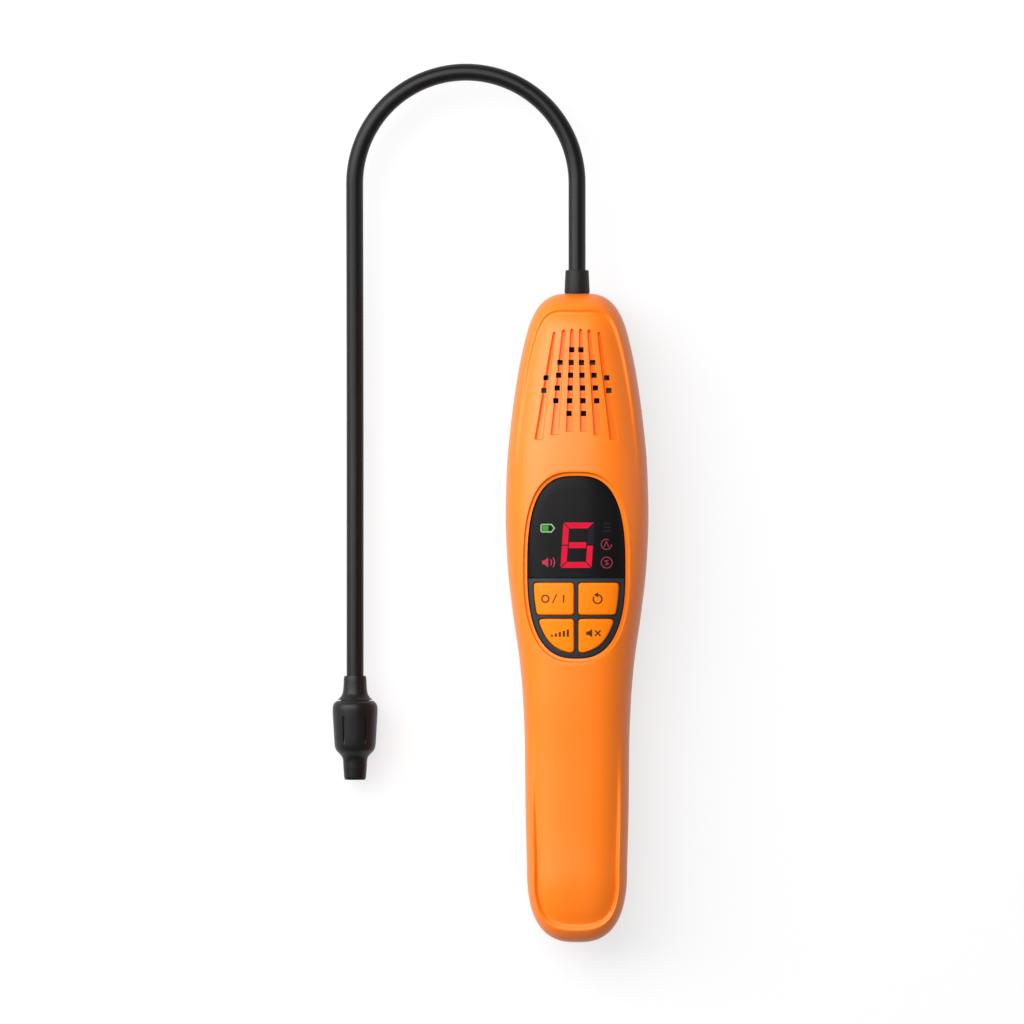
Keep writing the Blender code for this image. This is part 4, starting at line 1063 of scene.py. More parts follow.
@dataclass(frozen=True)
class Finishes:
    """The finishes of the detector's pieces."""

    # ABS, injection moulded in a fine-grained mould: a satin orange with a broad soft highlight.
    shell: MouldedPlastic = MouldedPlastic(
        "moulded_abs_orange", "fb7808", "fd7e0e", 0.4, 0.04, specular=0.45
    )
    # ABS, moulded in a smoother mould: deeper orange keycaps with a tighter highlight.
    key: MouldedPlastic = MouldedPlastic(
        "moulded_abs_keycap", "fa7c05", "fb830a", 0.4, 0.04, specular=0.14, grain_mm=0.4
    )
    # PMMA sheet, tinted, with a satin top coat: a near-black window that hardly mirrors the lamps.
    window: MouldedPlastic = MouldedPlastic(
        "tinted_pmma_window", "111112", "161617", 0.3, 0.03, specular=0.07, grain_height_mm=0.0006
    )
    # ABS, moulded and left satin: a blue-grey frame between the keys.
    bezel: MouldedPlastic = MouldedPlastic("moulded_abs_bezel", "232a2f", "293138", 0.5, specular=0.24)
    # PVC, moulded: a dull black strain collar.
    collar: MouldedPlastic = MouldedPlastic("moulded_pvc_collar", "171716", "1c1c1b", 0.45, specular=0.2)
    # PVC sleeve, extruded over the neck's coil: a satin black with long highlights.
    sleeve: MouldedPlastic = MouldedPlastic(
        "extruded_pvc_sleeve", "0d0d0d", "121212", 0.34, 0.05, specular=0.22, grain_mm=0.7
    )
    # ABS, moulded: a satin black probe body.
    probe: MouldedPlastic = MouldedPlastic(
        "moulded_abs_black", "0f0f0f", "141414", 0.36, 0.05, specular=0.24
    )
    # Ink, pad printed: a thin flat brown mark.
    ink: MouldedPlastic = MouldedPlastic(
        "pad_print_brown", "4a2408", "522a0c", 0.6, 0.03, specular=0.2, grain_height_mm=0.001
    )
    # Light-emitting figure behind the window, lit: an even pinkish red.
    lit_red: LitFigure = LitFigure("lit_segment_red", "ea2040")
    # The same light through a finer mask: a duller pink.
    lit_pink: LitFigure = LitFigure("lit_icon_pink", "c84257")
    lit_ring: LitFigure = LitFigure("lit_ring_red", "9c3a4c")
    # Green light-emitting icon, lit, and its paler outline.
    lit_green: LitFigure = LitFigure("lit_icon_green", "4ea63c")
    lit_green_pale: LitFigure = LitFigure("lit_outline_green", "a4cda0")
    # The same figure, unlit: a grey hardly lighter than the window.
    unlit: LitFigure = LitFigure("unlit_segment", "29292d")
    # Epoxy board under a solder mask: a glossy dark green.
    board: MouldedPlastic = MouldedPlastic("fibreglass_solder_mask", "14502e", "18593a", 0.35, 0.05)
    # Epoxy moulding compound: matt black packages.
    resin: MouldedPlastic = MouldedPlastic("moulded_epoxy_black", "131314", "181819", 0.6, specular=0.2)
    # Steel, nickel plated: screws, springs and the sensor's can.
    steel: BrushedMetal = BrushedMetal("nickel_plated_steel", "c9c8c4", 0.28)
    # Steel in a dark grey that paints shade: the board's screws, kept dark so that the grille's holes over
    # them stay shaded instead of glinting.
    shade_painted_steel: BrushedMetal = BrushedMetal("steel_painted_dark_for_shade", "39393b", 0.42)
    # PVC film, shrunk over the cell: a glossy dark blue jacket.
    jacket: MouldedPlastic = MouldedPlastic("shrunk_pvc_jacket", "1c2a52", "22325e", 0.3, 0.05)
    # Polypropylene, moulded: a dull black tray.
    tray: MouldedPlastic = MouldedPlastic("moulded_polypropylene", "26262a", "2b2b2f", 0.55)
    # Polyester felt, needled: a soft white disc.
    felt: MouldedPlastic = MouldedPlastic(
        "needled_polyester_felt", "dedcd4", "e8e6df", 0.95, 0.03, grain_mm=0.3, grain_height_mm=0.06
    )


class Palette:
    """The finishes as Blender materials, each made once."""

    def __init__(self, finishes: Finishes) -> None:
        """Starts with none of the materials made."""
        self.finishes = finishes
        self.made: dict[str, bpy.types.Material] = {}

    def get(self, finish: str) -> bpy.types.Material:
        """The material of a finish, by its field's name.

        Args:
            finish: the name of the finish's field.

        Returns:
            The material, the same one each time.
        """
        if finish not in self.made:
            self.made[finish] = getattr(self.finishes, finish).material()
        return self.made[finish]


PALETTE = Palette(Finishes())


def screw_places() -> list[Vector]:
    """Where the four housing screws stand: two at the head and two above the handle."""
    return [Vector((side * x, y, 0.0)) for x, y in SCREWS_AT for side in (1, -1)]


def rod(name: str, radius: float, low: float, high: float, at: Vector, steps: int) -> bpy.types.Object:
    """A plain upright rod between two levels."""
    return turned(name, [(0.0, low), (radius, low), (radius, high), (0.0, high)], Axis.Z, at, steps)


@dataclass
class FrontShell:
    """The front half of the housing: dome, sunken ends, oval opening and fan grille."""

    rim_rings: int = 10
    drop_rings: int = 8
    face_rings: int = 15
    inside_rings: int = 5
    # Where the rings inside the shell lie between the outline and the crest, and how far those outside
    # crowd towards the outline.
    inside_shares: tuple[float, ...] = (1.0, 0.45, 0.12, 0.02)
    rim_crowding: float = 2.2
    edge_round: float = 0.25 * MM
    # The oval opening's edge from its foot outwards: how far outside the oval and how far below the face.
    oval_edge_mm: tuple[Point, ...] = (
        (0.0, 1.55), (0.04, 1.39), (0.12, 1.3), (0.85, 1.08), (1.25, 0.22), (1.35, 0.05), (1.65, -0.02),
    )
    # Each groove of the grille's right half: its two edges at the top, those at the bottom, and its ends.
    fan_mm: tuple[Fan, ...] = (
        ((0.91, 1.83), (1.26, 3.18), 90.1, 58.3),
        ((3.50, 4.52), (5.54, 7.99), 89.8, 57.3),
        ((6.55, 7.48), (10.55, 13.07), 89.15, 55.8),
    )
    hole_rows_mm: tuple[tuple[float, ...], ...] = (
        (84.0, 80.0, 76.0, 72.0, 68.0, 64.0), (80.0, 76.0, 72.0, 68.0), (75.2, 71.2),
    )
    groove_depth: float = 1.5 * MM
    groove_end_depth: float = 1.2 * MM
    groove_draft: float = 0.2 * MM
    boss_radius: float = 3.2 * MM
    boss_sides: int = 28
    pilot_radius: float = 1.4 * MM
    pilot_sides: int = 18
    pilot_top: float = 25.3 * MM
    groove_steps: int = 14
    groove_arc_steps: int = 6
    groove_flare: float = 0.12 * MM
    hole_tall: float = 1.65 * MM
    hole_wide: float = 1.7 * MM
    hole_reach_mm: tuple[float, ...] = (0.2, 0.42, 0.55)
    collar_hole: float = 4.3 * MM
    collar_hole_half: float = 8 * MM
    collar_hole_sides: int = 48

    def skin_rings(self) -> list[Ring]:
        """The rings from the inner skin's middle line, out over the parting face, to the outer skin's.

        Returns:
            The rings, in order.
        """
        form = FORM
        shares = [k / self.inside_rings for k in range(self.inside_rings, -1, -1)]
        rings = [form.front_ring(form.wall, Band.FACE, share) for share in shares]
        rings += [form.front_ring(form.wall, Band.RIM, share) for share in self.inside_shares]
        seam = form.part_level + CLEARANCE / 2
        rings.append(flat_ring(form.outline(form.wall)[0], form.part_level + SEAM_TOUCH))
        rings.append(flat_ring(form.outline(self.edge_round)[0], seam))
        rings.append(flat_ring(form.outline(0.0)[0], seam + self.edge_round))
        for k in range(1, self.rim_rings + 1):
            rings.append(form.front_ring(0.0, Band.RIM, (k / self.rim_rings) ** self.rim_crowding))
        for k in range(1, self.drop_rings + 1):
            rings.append(form.front_ring(0.0, Band.DROP, k / self.drop_rings))
        for k in range(1, self.face_rings + 1):
            rings.append(form.front_ring(0.0, Band.FACE, k / self.face_rings))
        return rings

    def oval_tool(self) -> bpy.types.Object:
        """Cuts the oval opening: a steep step, a narrow lip that slopes down, then a straight wall.

        Returns:
            The tool.
        """
        rings = [flat_ring(PANEL.loop(), FORM.part_level + FORM.wall)]
        for grow, depth in self.oval_edge_mm:
            rings.append(raised(PANEL.loop(grow * MM), FORM.front_level, -depth * MM))
        widest = self.oval_edge_mm[-1][0] * MM
        rings.append(flat_ring(PANEL.loop(widest), FORM.part_level + TOOL_TOP))
        return finish_mesh(loft_between(rings), "oval_tool")

    def groove_line(self, fan: Fan, share: float) -> tuple[float, float, float]:
        """Inner edge, outer edge and height of a groove at a share of the way down from its top.

        Args:
            fan: the groove's sizes.
            share: how far down the groove, from 0 to 1.

        Returns:
            The two edges' distances from the middle line and the height, in metres.
        """
        top, bottom, top_y, bottom_y = fan
        inner = top[0] + (bottom[0] - top[0]) * share
        outer = top[1] + (bottom[1] - top[1]) * share
        return inner * MM, outer * MM, (top_y + (bottom_y - top_y) * share) * MM

    def sunk(self, points: Ring, depths: list[float]) -> Ring:
        """Plan points laid below the front face, each at its own depth."""
        return [Vector((p.x, p.y, self.face(p) - depth)) for p, depth in zip(points, depths)]

    def groove_tool(self, index: int, fan: Fan, side: int) -> bpy.types.Object:
        """Cuts one groove: a round top end, drafted walls and a floor that rises to its lower end.

        Args:
            index: the groove's number.
            fan: its sizes.
            side: -1 for the left one, 1 for the right.

        Returns:
            The tool.
        """
        left, right = [], []
        for i in range(self.groove_steps + 1):
            share = i / self.groove_steps
            inner, outer, y = self.groove_line(fan, share)
            left.append((Vector((side * inner, y)), share))
            right.append((Vector((side * outer, y)), share))
        inner, outer, y = self.groove_line(fan, 0.0)
        middle, radius = (inner + outer) / 2, (outer - inner) / 2
        top_end = []
        for k in range(1, self.groove_arc_steps):
            angle = math.pi * k / self.groove_arc_steps
            x = middle + radius * math.cos(angle)
            top_end.append((Vector((side * x, y + radius * math.sin(angle))), 0.0))
        loop = top_end + left + list(reversed(right))
        outline = [p for p, _ in loop]
        rise = self.groove_end_depth - self.groove_depth
        depths = [self.groove_depth + rise * share for _, share in loop]
        centres = []
        for p, share in loop:
            inner, outer, y = self.groove_line(fan, share)
            centres.append(Vector((side * (inner + outer) / 2, min(p.y, y))))
        flare = self.groove_flare
        rings = [
            self.sunk(centres, depths),
            self.sunk(grown(outline, -self.groove_draft), depths),
            self.sunk(outline, [flare] * len(outline)),
            self.sunk(grown(outline, flare), [-TOOL_PAST] * len(outline)),
            flat_ring(grown(outline, flare), FORM.part_level + TOOL_TOP),
        ]
        loft = Loft(rings[0]).grow_all(rings[1:])
        loft.cap()
        return finish_mesh(loft.mesh, f"groove_tool_{index}_{side}")

    def face(self, p: Vector) -> float:
        """Height of the front face, followed over the start of the head's rounded cap.

        Args:
            p: the place in plan.

        Returns:
            The height there.
        """
        if p.y <= FORM.head_cap_y:
            return FORM.front_level(p.x, p.y)
        fraction = 1 - (p.y - FORM.head_cap_y) / (FORM.top_y - FORM.head_cap_y)
        fall = FORM.front_height(p.y) * rounded_power(fraction, FORM.front_power)
        return FORM.front_level(p.x, FORM.head_cap_y) + fall - FORM.front_height(FORM.head_cap_y)

    def hole_tools(self) -> list[bpy.types.Object]:
        """Cuts the square sound holes, each a little past its groove's outer edge.

        Returns:
            The tools.
        """
        made = []
        grooves = zip(self.fan_mm, self.hole_rows_mm, self.hole_reach_mm)
        for index, (fan, rows, reach) in enumerate(grooves):
            for row in rows:
                share = (fan[2] - row) / (fan[2] - fan[3])
                _, outer, y = self.groove_line(fan, share)
                outer += reach * MM
                for side in (1, -1):
                    xs = sorted((side * (outer - self.hole_wide), side * outer))
                    low = Vector((xs[0], y - self.hole_tall / 2, self.pilot_top + CLEARANCE))
                    high = Vector((xs[1], y + self.hole_tall / 2, FORM.part_level + TOOL_TOP))
                    made.append(box_between(f"hole_tool_{index}_{row:.0f}_{side}", low, high))
        return made

    def collar_tool(self) -> bpy.types.Object:
        """Cuts the half hole for the neck's collar.

        Returns:
            The tool.
        """
        low = FORM.top_y - self.collar_hole_half
        high = FORM.top_y + self.collar_hole_half
        profile = [(0.0, low), (self.collar_hole, low), (self.collar_hole, high), (0.0, high)]
        at = Vector((0.0, 0.0, FORM.part_level))
        return turned("collar_tool", profile, Axis.Y, at, self.collar_hole_sides)

    def build(self) -> bpy.types.Object:
        """Builds and dresses the shell.

        Returns:
            The shell.
        """
        rings = self.skin_rings()
        shell = finish_mesh(Loft(rings[0]).grow_all(rings[1:]).mesh, "front_shell_moulding")
        seam = FORM.part_level + CLEARANCE / 2
        low = FORM.part_level - FORM.wall
        bosses = []
        tools = [self.oval_tool()]
        for i, at in enumerate(screw_places()):
            wide = abs(at.x) + self.boss_radius
            top = FORM.front_level(wide, min(at.y, FORM.head_cap_y)) - FORM.wall / 4
            bosses.append(rod(f"boss_{i}", self.boss_radius, seam, top, at, self.boss_sides))
            tools.append(rod(f"pilot_{i}", self.pilot_radius, low, self.pilot_top, at, self.pilot_sides))
        carve(shell, bosses, Carving.JOIN)
        for index, fan in enumerate(self.fan_mm):
            tools += [self.groove_tool(index, fan, side) for side in (1, -1)]
        tools += self.hole_tools() + [self.collar_tool()]
        carve(shell, tools)
        dress(shell, PALETTE.get("shell"))
        return settle(shell, Body.HOUSING, ["front_shell"])


@dataclass
class RearShell:
    """The back half of the housing, with its flat, the screw recesses and the battery opening."""

    rings: int = 14
    # How far the rings crowd towards the outline.
    crowding: float = 2.4
    inside_rings: int = 4
    edge_round: float = 0.25 * MM
    # The recesses that the screws go in by, with their flare and the levels between which it narrows.
    recess_radius: float = 2.7 * MM
    recess_flare: float = 0.5 * MM
    recess_flare_z: Point = (-0.3 * MM, 0.35 * MM)
    recess_sides: int = 40
    post_radius: float = 2.5 * MM
    post_sides: int = 26
    post_top: float = 22.9 * MM
    post_hole: float = 1.3 * MM
    post_hole_sides: int = 18
    post_hole_low: float = 17.5 * MM
    boss_root: float = 2.0 * MM
    shank_radius: float = 1.4 * MM
    screw_seat: float = 9.0 * MM
    boss_radius: float = 3.5 * MM
    boss_sides: int = 28
    door_half_width: float = 11.0 * MM
    door_y: Point = (-81.5 * MM, -32.5 * MM)
    door_corner: float = 4.0 * MM
    door_corner_steps: int = 8
    # The door's opening flares at the back by this much and is cut up to this far below the parting level.
    door_flare: float = 0.25 * MM
    door_cut_below: float = 4 * MM
    # How far the rings of the door's flat sides have closed to its middle.
    door_shares: tuple[float, ...] = (0.2, 0.4, 0.6, 0.8, 0.999)
    # The part of the edge's rounding that its middle ring stands in from both faces.
    door_soft_share: float = 0.3
    door_sink: float = 0.15 * MM
    door_thick: float = 1.9 * MM
    door_soft: float = 0.3 * MM
    ridge_count: int = 5
    ridge_pitch: float = 2.2 * MM
    ridge_first: float = 5.5 * MM
    ridge_half: Point = (5.0 * MM, 0.55 * MM)
    ridge_depth: float = 0.6 * MM

    def skin_rings(self) -> list[Ring]:
        """The rings from the inner skin's middle, over the parting face, to the outer flat's middle.

        Returns:
            The rings, in order.
        """
        form = FORM
        seam = form.part_level - CLEARANCE / 2
        made = [form.back_middle(form.wall)]
        for k in range(self.inside_rings, 0, -1):
            made.append(form.back_ring(form.wall, (k / self.inside_rings) ** 2))
        made.append(flat_ring(form.outline(form.wall)[0], form.part_level - SEAM_TOUCH))
        made.append(flat_ring(form.outline(self.edge_round)[0], seam))
        made.append(flat_ring(form.outline(0.0)[0], seam - self.edge_round))
        for k in range(1, self.rings + 1):
            made.append(form.back_ring(0.0, (k / self.rings) ** self.crowding))
        made.append(form.back_middle(0.0))
        return made

    def door_outline(self) -> Ring:
        """The battery door's plan outline.

        Returns:
            The closed outline.
        """
        low, high = self.door_y
        x = self.door_half_width
        corners = [Vector(p) for p in ((-x, low), (x, low), (x, high), (-x, high))]
        return rounded_outline(corners, self.door_corner, self.door_corner_steps)

    def screw_boss(self, index: int, at: Vector) -> bpy.types.Object:
        """The boss that one housing screw goes through, from the back's wall to the parting face."""
        high = FORM.part_level - CLEARANCE / 2
        return rod(f"boss_{index}", self.boss_radius, self.boss_root, high, at, self.boss_sides)

    def recess_tool(self, index: int, at: Vector) -> bpy.types.Object:
        """Cuts one screw's recess, flared at the back, with its head's seat and its shank's hole.

        Args:
            index: the screw's number.
            at: the screw's place.

        Returns:
            The tool.
        """
        below, top = -FORM.wall, FORM.part_level + FORM.wall
        wide, narrow = self.recess_radius, self.shank_radius
        mouth = wide + self.recess_flare
        low, high = self.recess_flare_z
        profile = [(0.0, below), (mouth, below), (mouth, low), (wide, high)]
        profile += [(wide, self.screw_seat), (narrow, self.screw_seat), (narrow, top), (0.0, top)]
        return turned(f"recess_{index}", profile, Axis.Z, at, self.recess_sides)

    def door_tool(self) -> bpy.types.Object:
        """Cuts the door's opening, with a small flare at the back.

        Returns:
            The tool.
        """
        outline = grown(self.door_outline(), CLEARANCE)
        rings = [
            flat_ring(grown(outline, self.door_flare), -FORM.wall),
            raised(grown(outline, self.door_flare), FORM.back_level, -TOOL_PAST),
            raised(outline, FORM.back_level, self.door_flare),
            flat_ring(outline, FORM.part_level - self.door_cut_below),
        ]
        return finish_mesh(loft_between(rings), "door_tool")

    def build(self) -> bpy.types.Object:
        """Builds and dresses the shell.

        Returns:
            The shell.
        """
        rings = self.skin_rings()
        shell = finish_mesh(Loft(rings[0]).grow_all(rings[1:]).mesh, "rear_shell_moulding")
        solid, tools = [], []
        for i, at in enumerate(screw_places()):
            solid.append(self.screw_boss(i, at))
            tools.append(self.recess_tool(i, at))
        for i, (x, y) in enumerate(BOARD_SCREWS_AT):
            for side in (1, -1):
                at = Vector((side * x, y, 0.0))
                low, high = self.boss_root, self.post_top
                solid.append(rod(f"post_{i}_{side}", self.post_radius, low, high, at, self.post_sides))
                low, high = self.post_hole_low, self.post_top + FORM.wall
                hole = rod(f"post_hole_{i}_{side}", self.post_hole, low, high, at, self.post_hole_sides)
                tools.append(hole)
        carve(shell, solid, Carving.JOIN)
        tools.append(self.door_tool())
        tools.append(FrontShell().collar_tool())
        carve(shell, tools)
        dress(shell, PALETTE.get("shell"))
        return settle(shell, Body.HOUSING, ["rear_shell"])

    def build_door(self) -> bpy.types.Object:
        """Builds the battery door, which follows the back's curve, with its thumb ridges.

        Returns:
            The door.
        """
        sink, thick, soft = self.door_sink, self.door_thick, self.door_soft
        bend = soft * self.door_soft_share
        outline, back = self.door_outline(), FORM.back_level
        inner = grown(outline, -soft)
        centre = Vector((0.0, sum(self.door_y) / 2))
        rings = closing(outline, reversed(self.door_shares), centre, back, sink + thick)
        rings.append(raised(outline, back, sink + thick))
        rings.append(raised(outline, back, sink + soft))
        rings.append(raised(grown(outline, -bend), back, sink + bend))
        rings.append(raised(inner, back, sink))
        rings += closing(inner, self.door_shares, centre, back, sink)
        door = finish_mesh(loft_between(rings), "battery_door_moulding")
        tools = []
        across, along = self.ridge_half
        for i in range(self.ridge_count):
            y = self.door_y[0] + self.ridge_first + i * self.ridge_pitch
            low = Vector((-across, y - along, -FORM.wall))
            high = Vector((across, y + along, sink + self.ridge_depth))
            tools.append(box_between(f"ridge_{i}", low, high))
        carve(door, tools)
        dress(door, PALETTE.get("shell"))
        return settle(door, Body.DOOR, ["battery_door"])


@dataclass
class OvalPanel:
    """The dark window and the key bezel, which hang behind the front wall by a flange."""

    soft: float = 0.22 * MM
    # The part of the edge's rounding that its middle ring stands in from both faces.
    soft_share: float = 0.3
    middle_rings: int = 9
    # How far the rings have closed to the middle: those behind, from the first on, and the last in front.
    back_shares: tuple[float, ...] = (0.998, 0.75, 0.5, 0.25)
    last_share: float = 0.998
    # The key openings: the longest step of their outlines, their flare and its depth below the face, and how
    # far above the parting level their tools begin and end.
    key_hole_step: float = 1.5 * MM
    key_hole_flare: float = 0.14 * MM
    key_hole_flare_depth: float = 0.18 * MM
    key_tool_ends: Point = (2 * MM, 25 * MM)

    def plug(self, back: float) -> bmesh.types.BMesh:
        """The whole oval plug with its flange, before it is split at the window's lower edge.

        Args:
            back: how far its back lies below the shell's inner surface.

        Returns:
            The closed mesh.
        """
        face, inside = FORM.front_level, FORM.inside_level
        form = PANEL
        centre = Vector((0.0, form.y))
        top = -form.sink
        edge = -CLEARANCE
        bend = self.soft * self.soft_share
        rings = closing(form.loop(edge), self.back_shares, centre, inside, -back)
        rings.append(raised(form.loop(-form.flange_inner), inside, -back))
        flange_low = -(CLEARANCE + form.flange_thick)
        rings.append(raised(form.loop(-form.flange_inner), inside, flange_low))
        rings.append(raised(form.loop(form.flange_reach), inside, flange_low))
        rings.append(raised(form.loop(form.flange_reach), inside, -CLEARANCE))
        rings.append(raised(form.loop(edge), inside, -CLEARANCE))
        rings.append(raised(form.loop(edge), face, top - self.soft))
        rings.append(raised(form.loop(edge - bend), face, top - bend))
        rings.append(raised(form.loop(edge - self.soft), face, top))
        shares = [k / self.middle_rings for k in range(1, self.middle_rings)]
        rings += closing(form.loop(edge - self.soft), shares, centre, face, top)
        rings += closing(form.loop(edge), [self.last_share], centre, face, top)
        return loft_between(rings)

    def half(self, name: str, upper: bool) -> bpy.types.Object:
        """Splits the plug and keeps the window's or the bezel's half.

        Args:
            name: the object's name.
            upper: whether it is the window, above the split.

        Returns:
            The half, closed at the split.
        """
        mesh = self.plug(PANEL.back + (CLEARANCE if upper else 0.0))
        split = PANEL.split_y + (CLEARANCE / 2 if upper else -CLEARANCE / 2)
        made = bmesh.ops.bisect_plane(
            mesh,
            geom=mesh.verts[:] + mesh.edges[:] + mesh.faces[:],
            plane_co=(0.0, split, 0.0),
            plane_no=(0.0, 1.0, 0.0),
            clear_inner=upper,
            clear_outer=not upper,
        )
        rim = [part for part in made["geom_cut"] if isinstance(part, bmesh.types.BMEdge)]
        bmesh.ops.contextual_create(mesh, geom=rim)
        return finish_mesh(mesh, name)

    def key_tool(self, side: int, upper: bool) -> bpy.types.Object:
        """Cuts one key's opening, with a small flare at the bezel's face.

        Args:
            side: -1 for a left key, 1 for a right one.
            upper: whether it is in the upper row.

        Returns:
            The tool.
        """
        outline = refined(grown(PANEL.key_outline(side, upper), CLEARANCE), self.key_hole_step)
        wide = grown(outline, self.key_hole_flare)
        low, high = self.key_tool_ends
        rings = [
            flat_ring(outline, FORM.part_level + low),
            raised(outline, FORM.front_level, -PANEL.sink - self.key_hole_flare_depth),
            raised(wide, FORM.front_level, -PANEL.sink + TOOL_PAST),
            flat_ring(wide, FORM.part_level + high),
        ]
        return finish_mesh(loft_between(rings), f"key_tool_{side}_{upper}")

    def build(self) -> None:
        """Builds and dresses the window and the bezel."""
        window = dress(self.half("tinted_window", True), PALETTE.get("window"))
        settle(window, Body.HOUSING, ["display_window"])
        bezel = self.half("key_bezel", False)
        tools = [self.key_tool(side, upper) for side in (1, -1) for upper in (True, False)]
        carve(bezel, tools)
        dress(bezel, PALETTE.get("bezel"))
        settle(bezel, Body.HOUSING, ["keypad_bezel"])


@dataclass
class Keycap:
    """One orange key: a domed cap with soft edges, a lip behind the bezel and a post over its switch."""

    name: str
    side: Side
    upper: bool
    body: Body
    step: float = 1.2 * MM
    soft: float = 0.4 * MM
    soft_steps: int = 4
    # How far the rings have closed to the middle, below and on top.
    lip_shares: tuple[float, ...] = (0.99, 0.66, 0.33)
    top_shares: tuple[float, ...] = (0.2, 0.4, 0.6, 0.8, 0.99)
    lip: float = 0.45 * MM
    lip_thick: float = 0.8 * MM
    post_radius: float = 1.6 * MM
    post_soft: float = 0.1 * MM
    post_sides: int = 24
    post_x: float = 6.3 * MM
    post_y: Point = (5.9 * MM, -4.9 * MM)
    post_low: float = 29.95 * MM

    def build(self) -> bpy.types.Object:
        """Builds and dresses the key.

        Returns:
            The key.
        """
        outline = refined(PANEL.key_outline(self.side.value, self.upper), self.step)
        face, inside = FORM.front_level, FORM.inside_level
        centre = sum(outline, Vector((0.0, 0.0))) / len(outline)
        lip_top = -(PANEL.back + CLEARANCE)
        lip_low = lip_top - self.lip_thick
        wide = grown(outline, self.lip)
        top = -PANEL.key_sink
        rings = closing(wide, self.lip_shares, centre, inside, lip_low)
        rings += [raised(wide, inside, lip_low), raised(wide, inside, lip_top)]
        rings.append(raised(outline, inside, lip_top))
        for k in range(self.soft_steps + 1):
            angle = math.radians(90) * k / self.soft_steps
            inset = self.soft * (1 - math.cos(angle))
            rise = self.soft * (math.sin(angle) - 1)
            rings.append(raised(grown(outline, -inset), face, top + rise))
        rings += closing(grown(outline, -self.soft), self.top_shares, centre, face, top)
        key = finish_mesh(loft_between(rings), f"{self.name}_cap")
        x = self.side.value * self.post_x
        y = self.post_y[0] if self.upper else self.post_y[1]
        low, high = self.post_low, inside(x, y) + lip_low + self.lip_thick / 3
        profile = [(0.0, low), (self.post_radius, low), (self.post_radius, high), (0.0, high)]
        profile = softened(profile, self.post_soft)
        post = turned("post", profile, Axis.Z, Vector((x, y, 0.0)), self.post_sides)
        carve(key, [post], Carving.JOIN)
        dress(key, PALETTE.get("key"))
        return settle(key, self.body, [self.name])


def window_level(x: float, y: float) -> float:
    """Height of the window's outer face."""
    return FORM.front_level(x, y) - PANEL.sink


def key_level(x: float, y: float) -> float:
    """Height of the keys' outer faces."""
    return FORM.front_level(x, y) - PANEL.key_sink


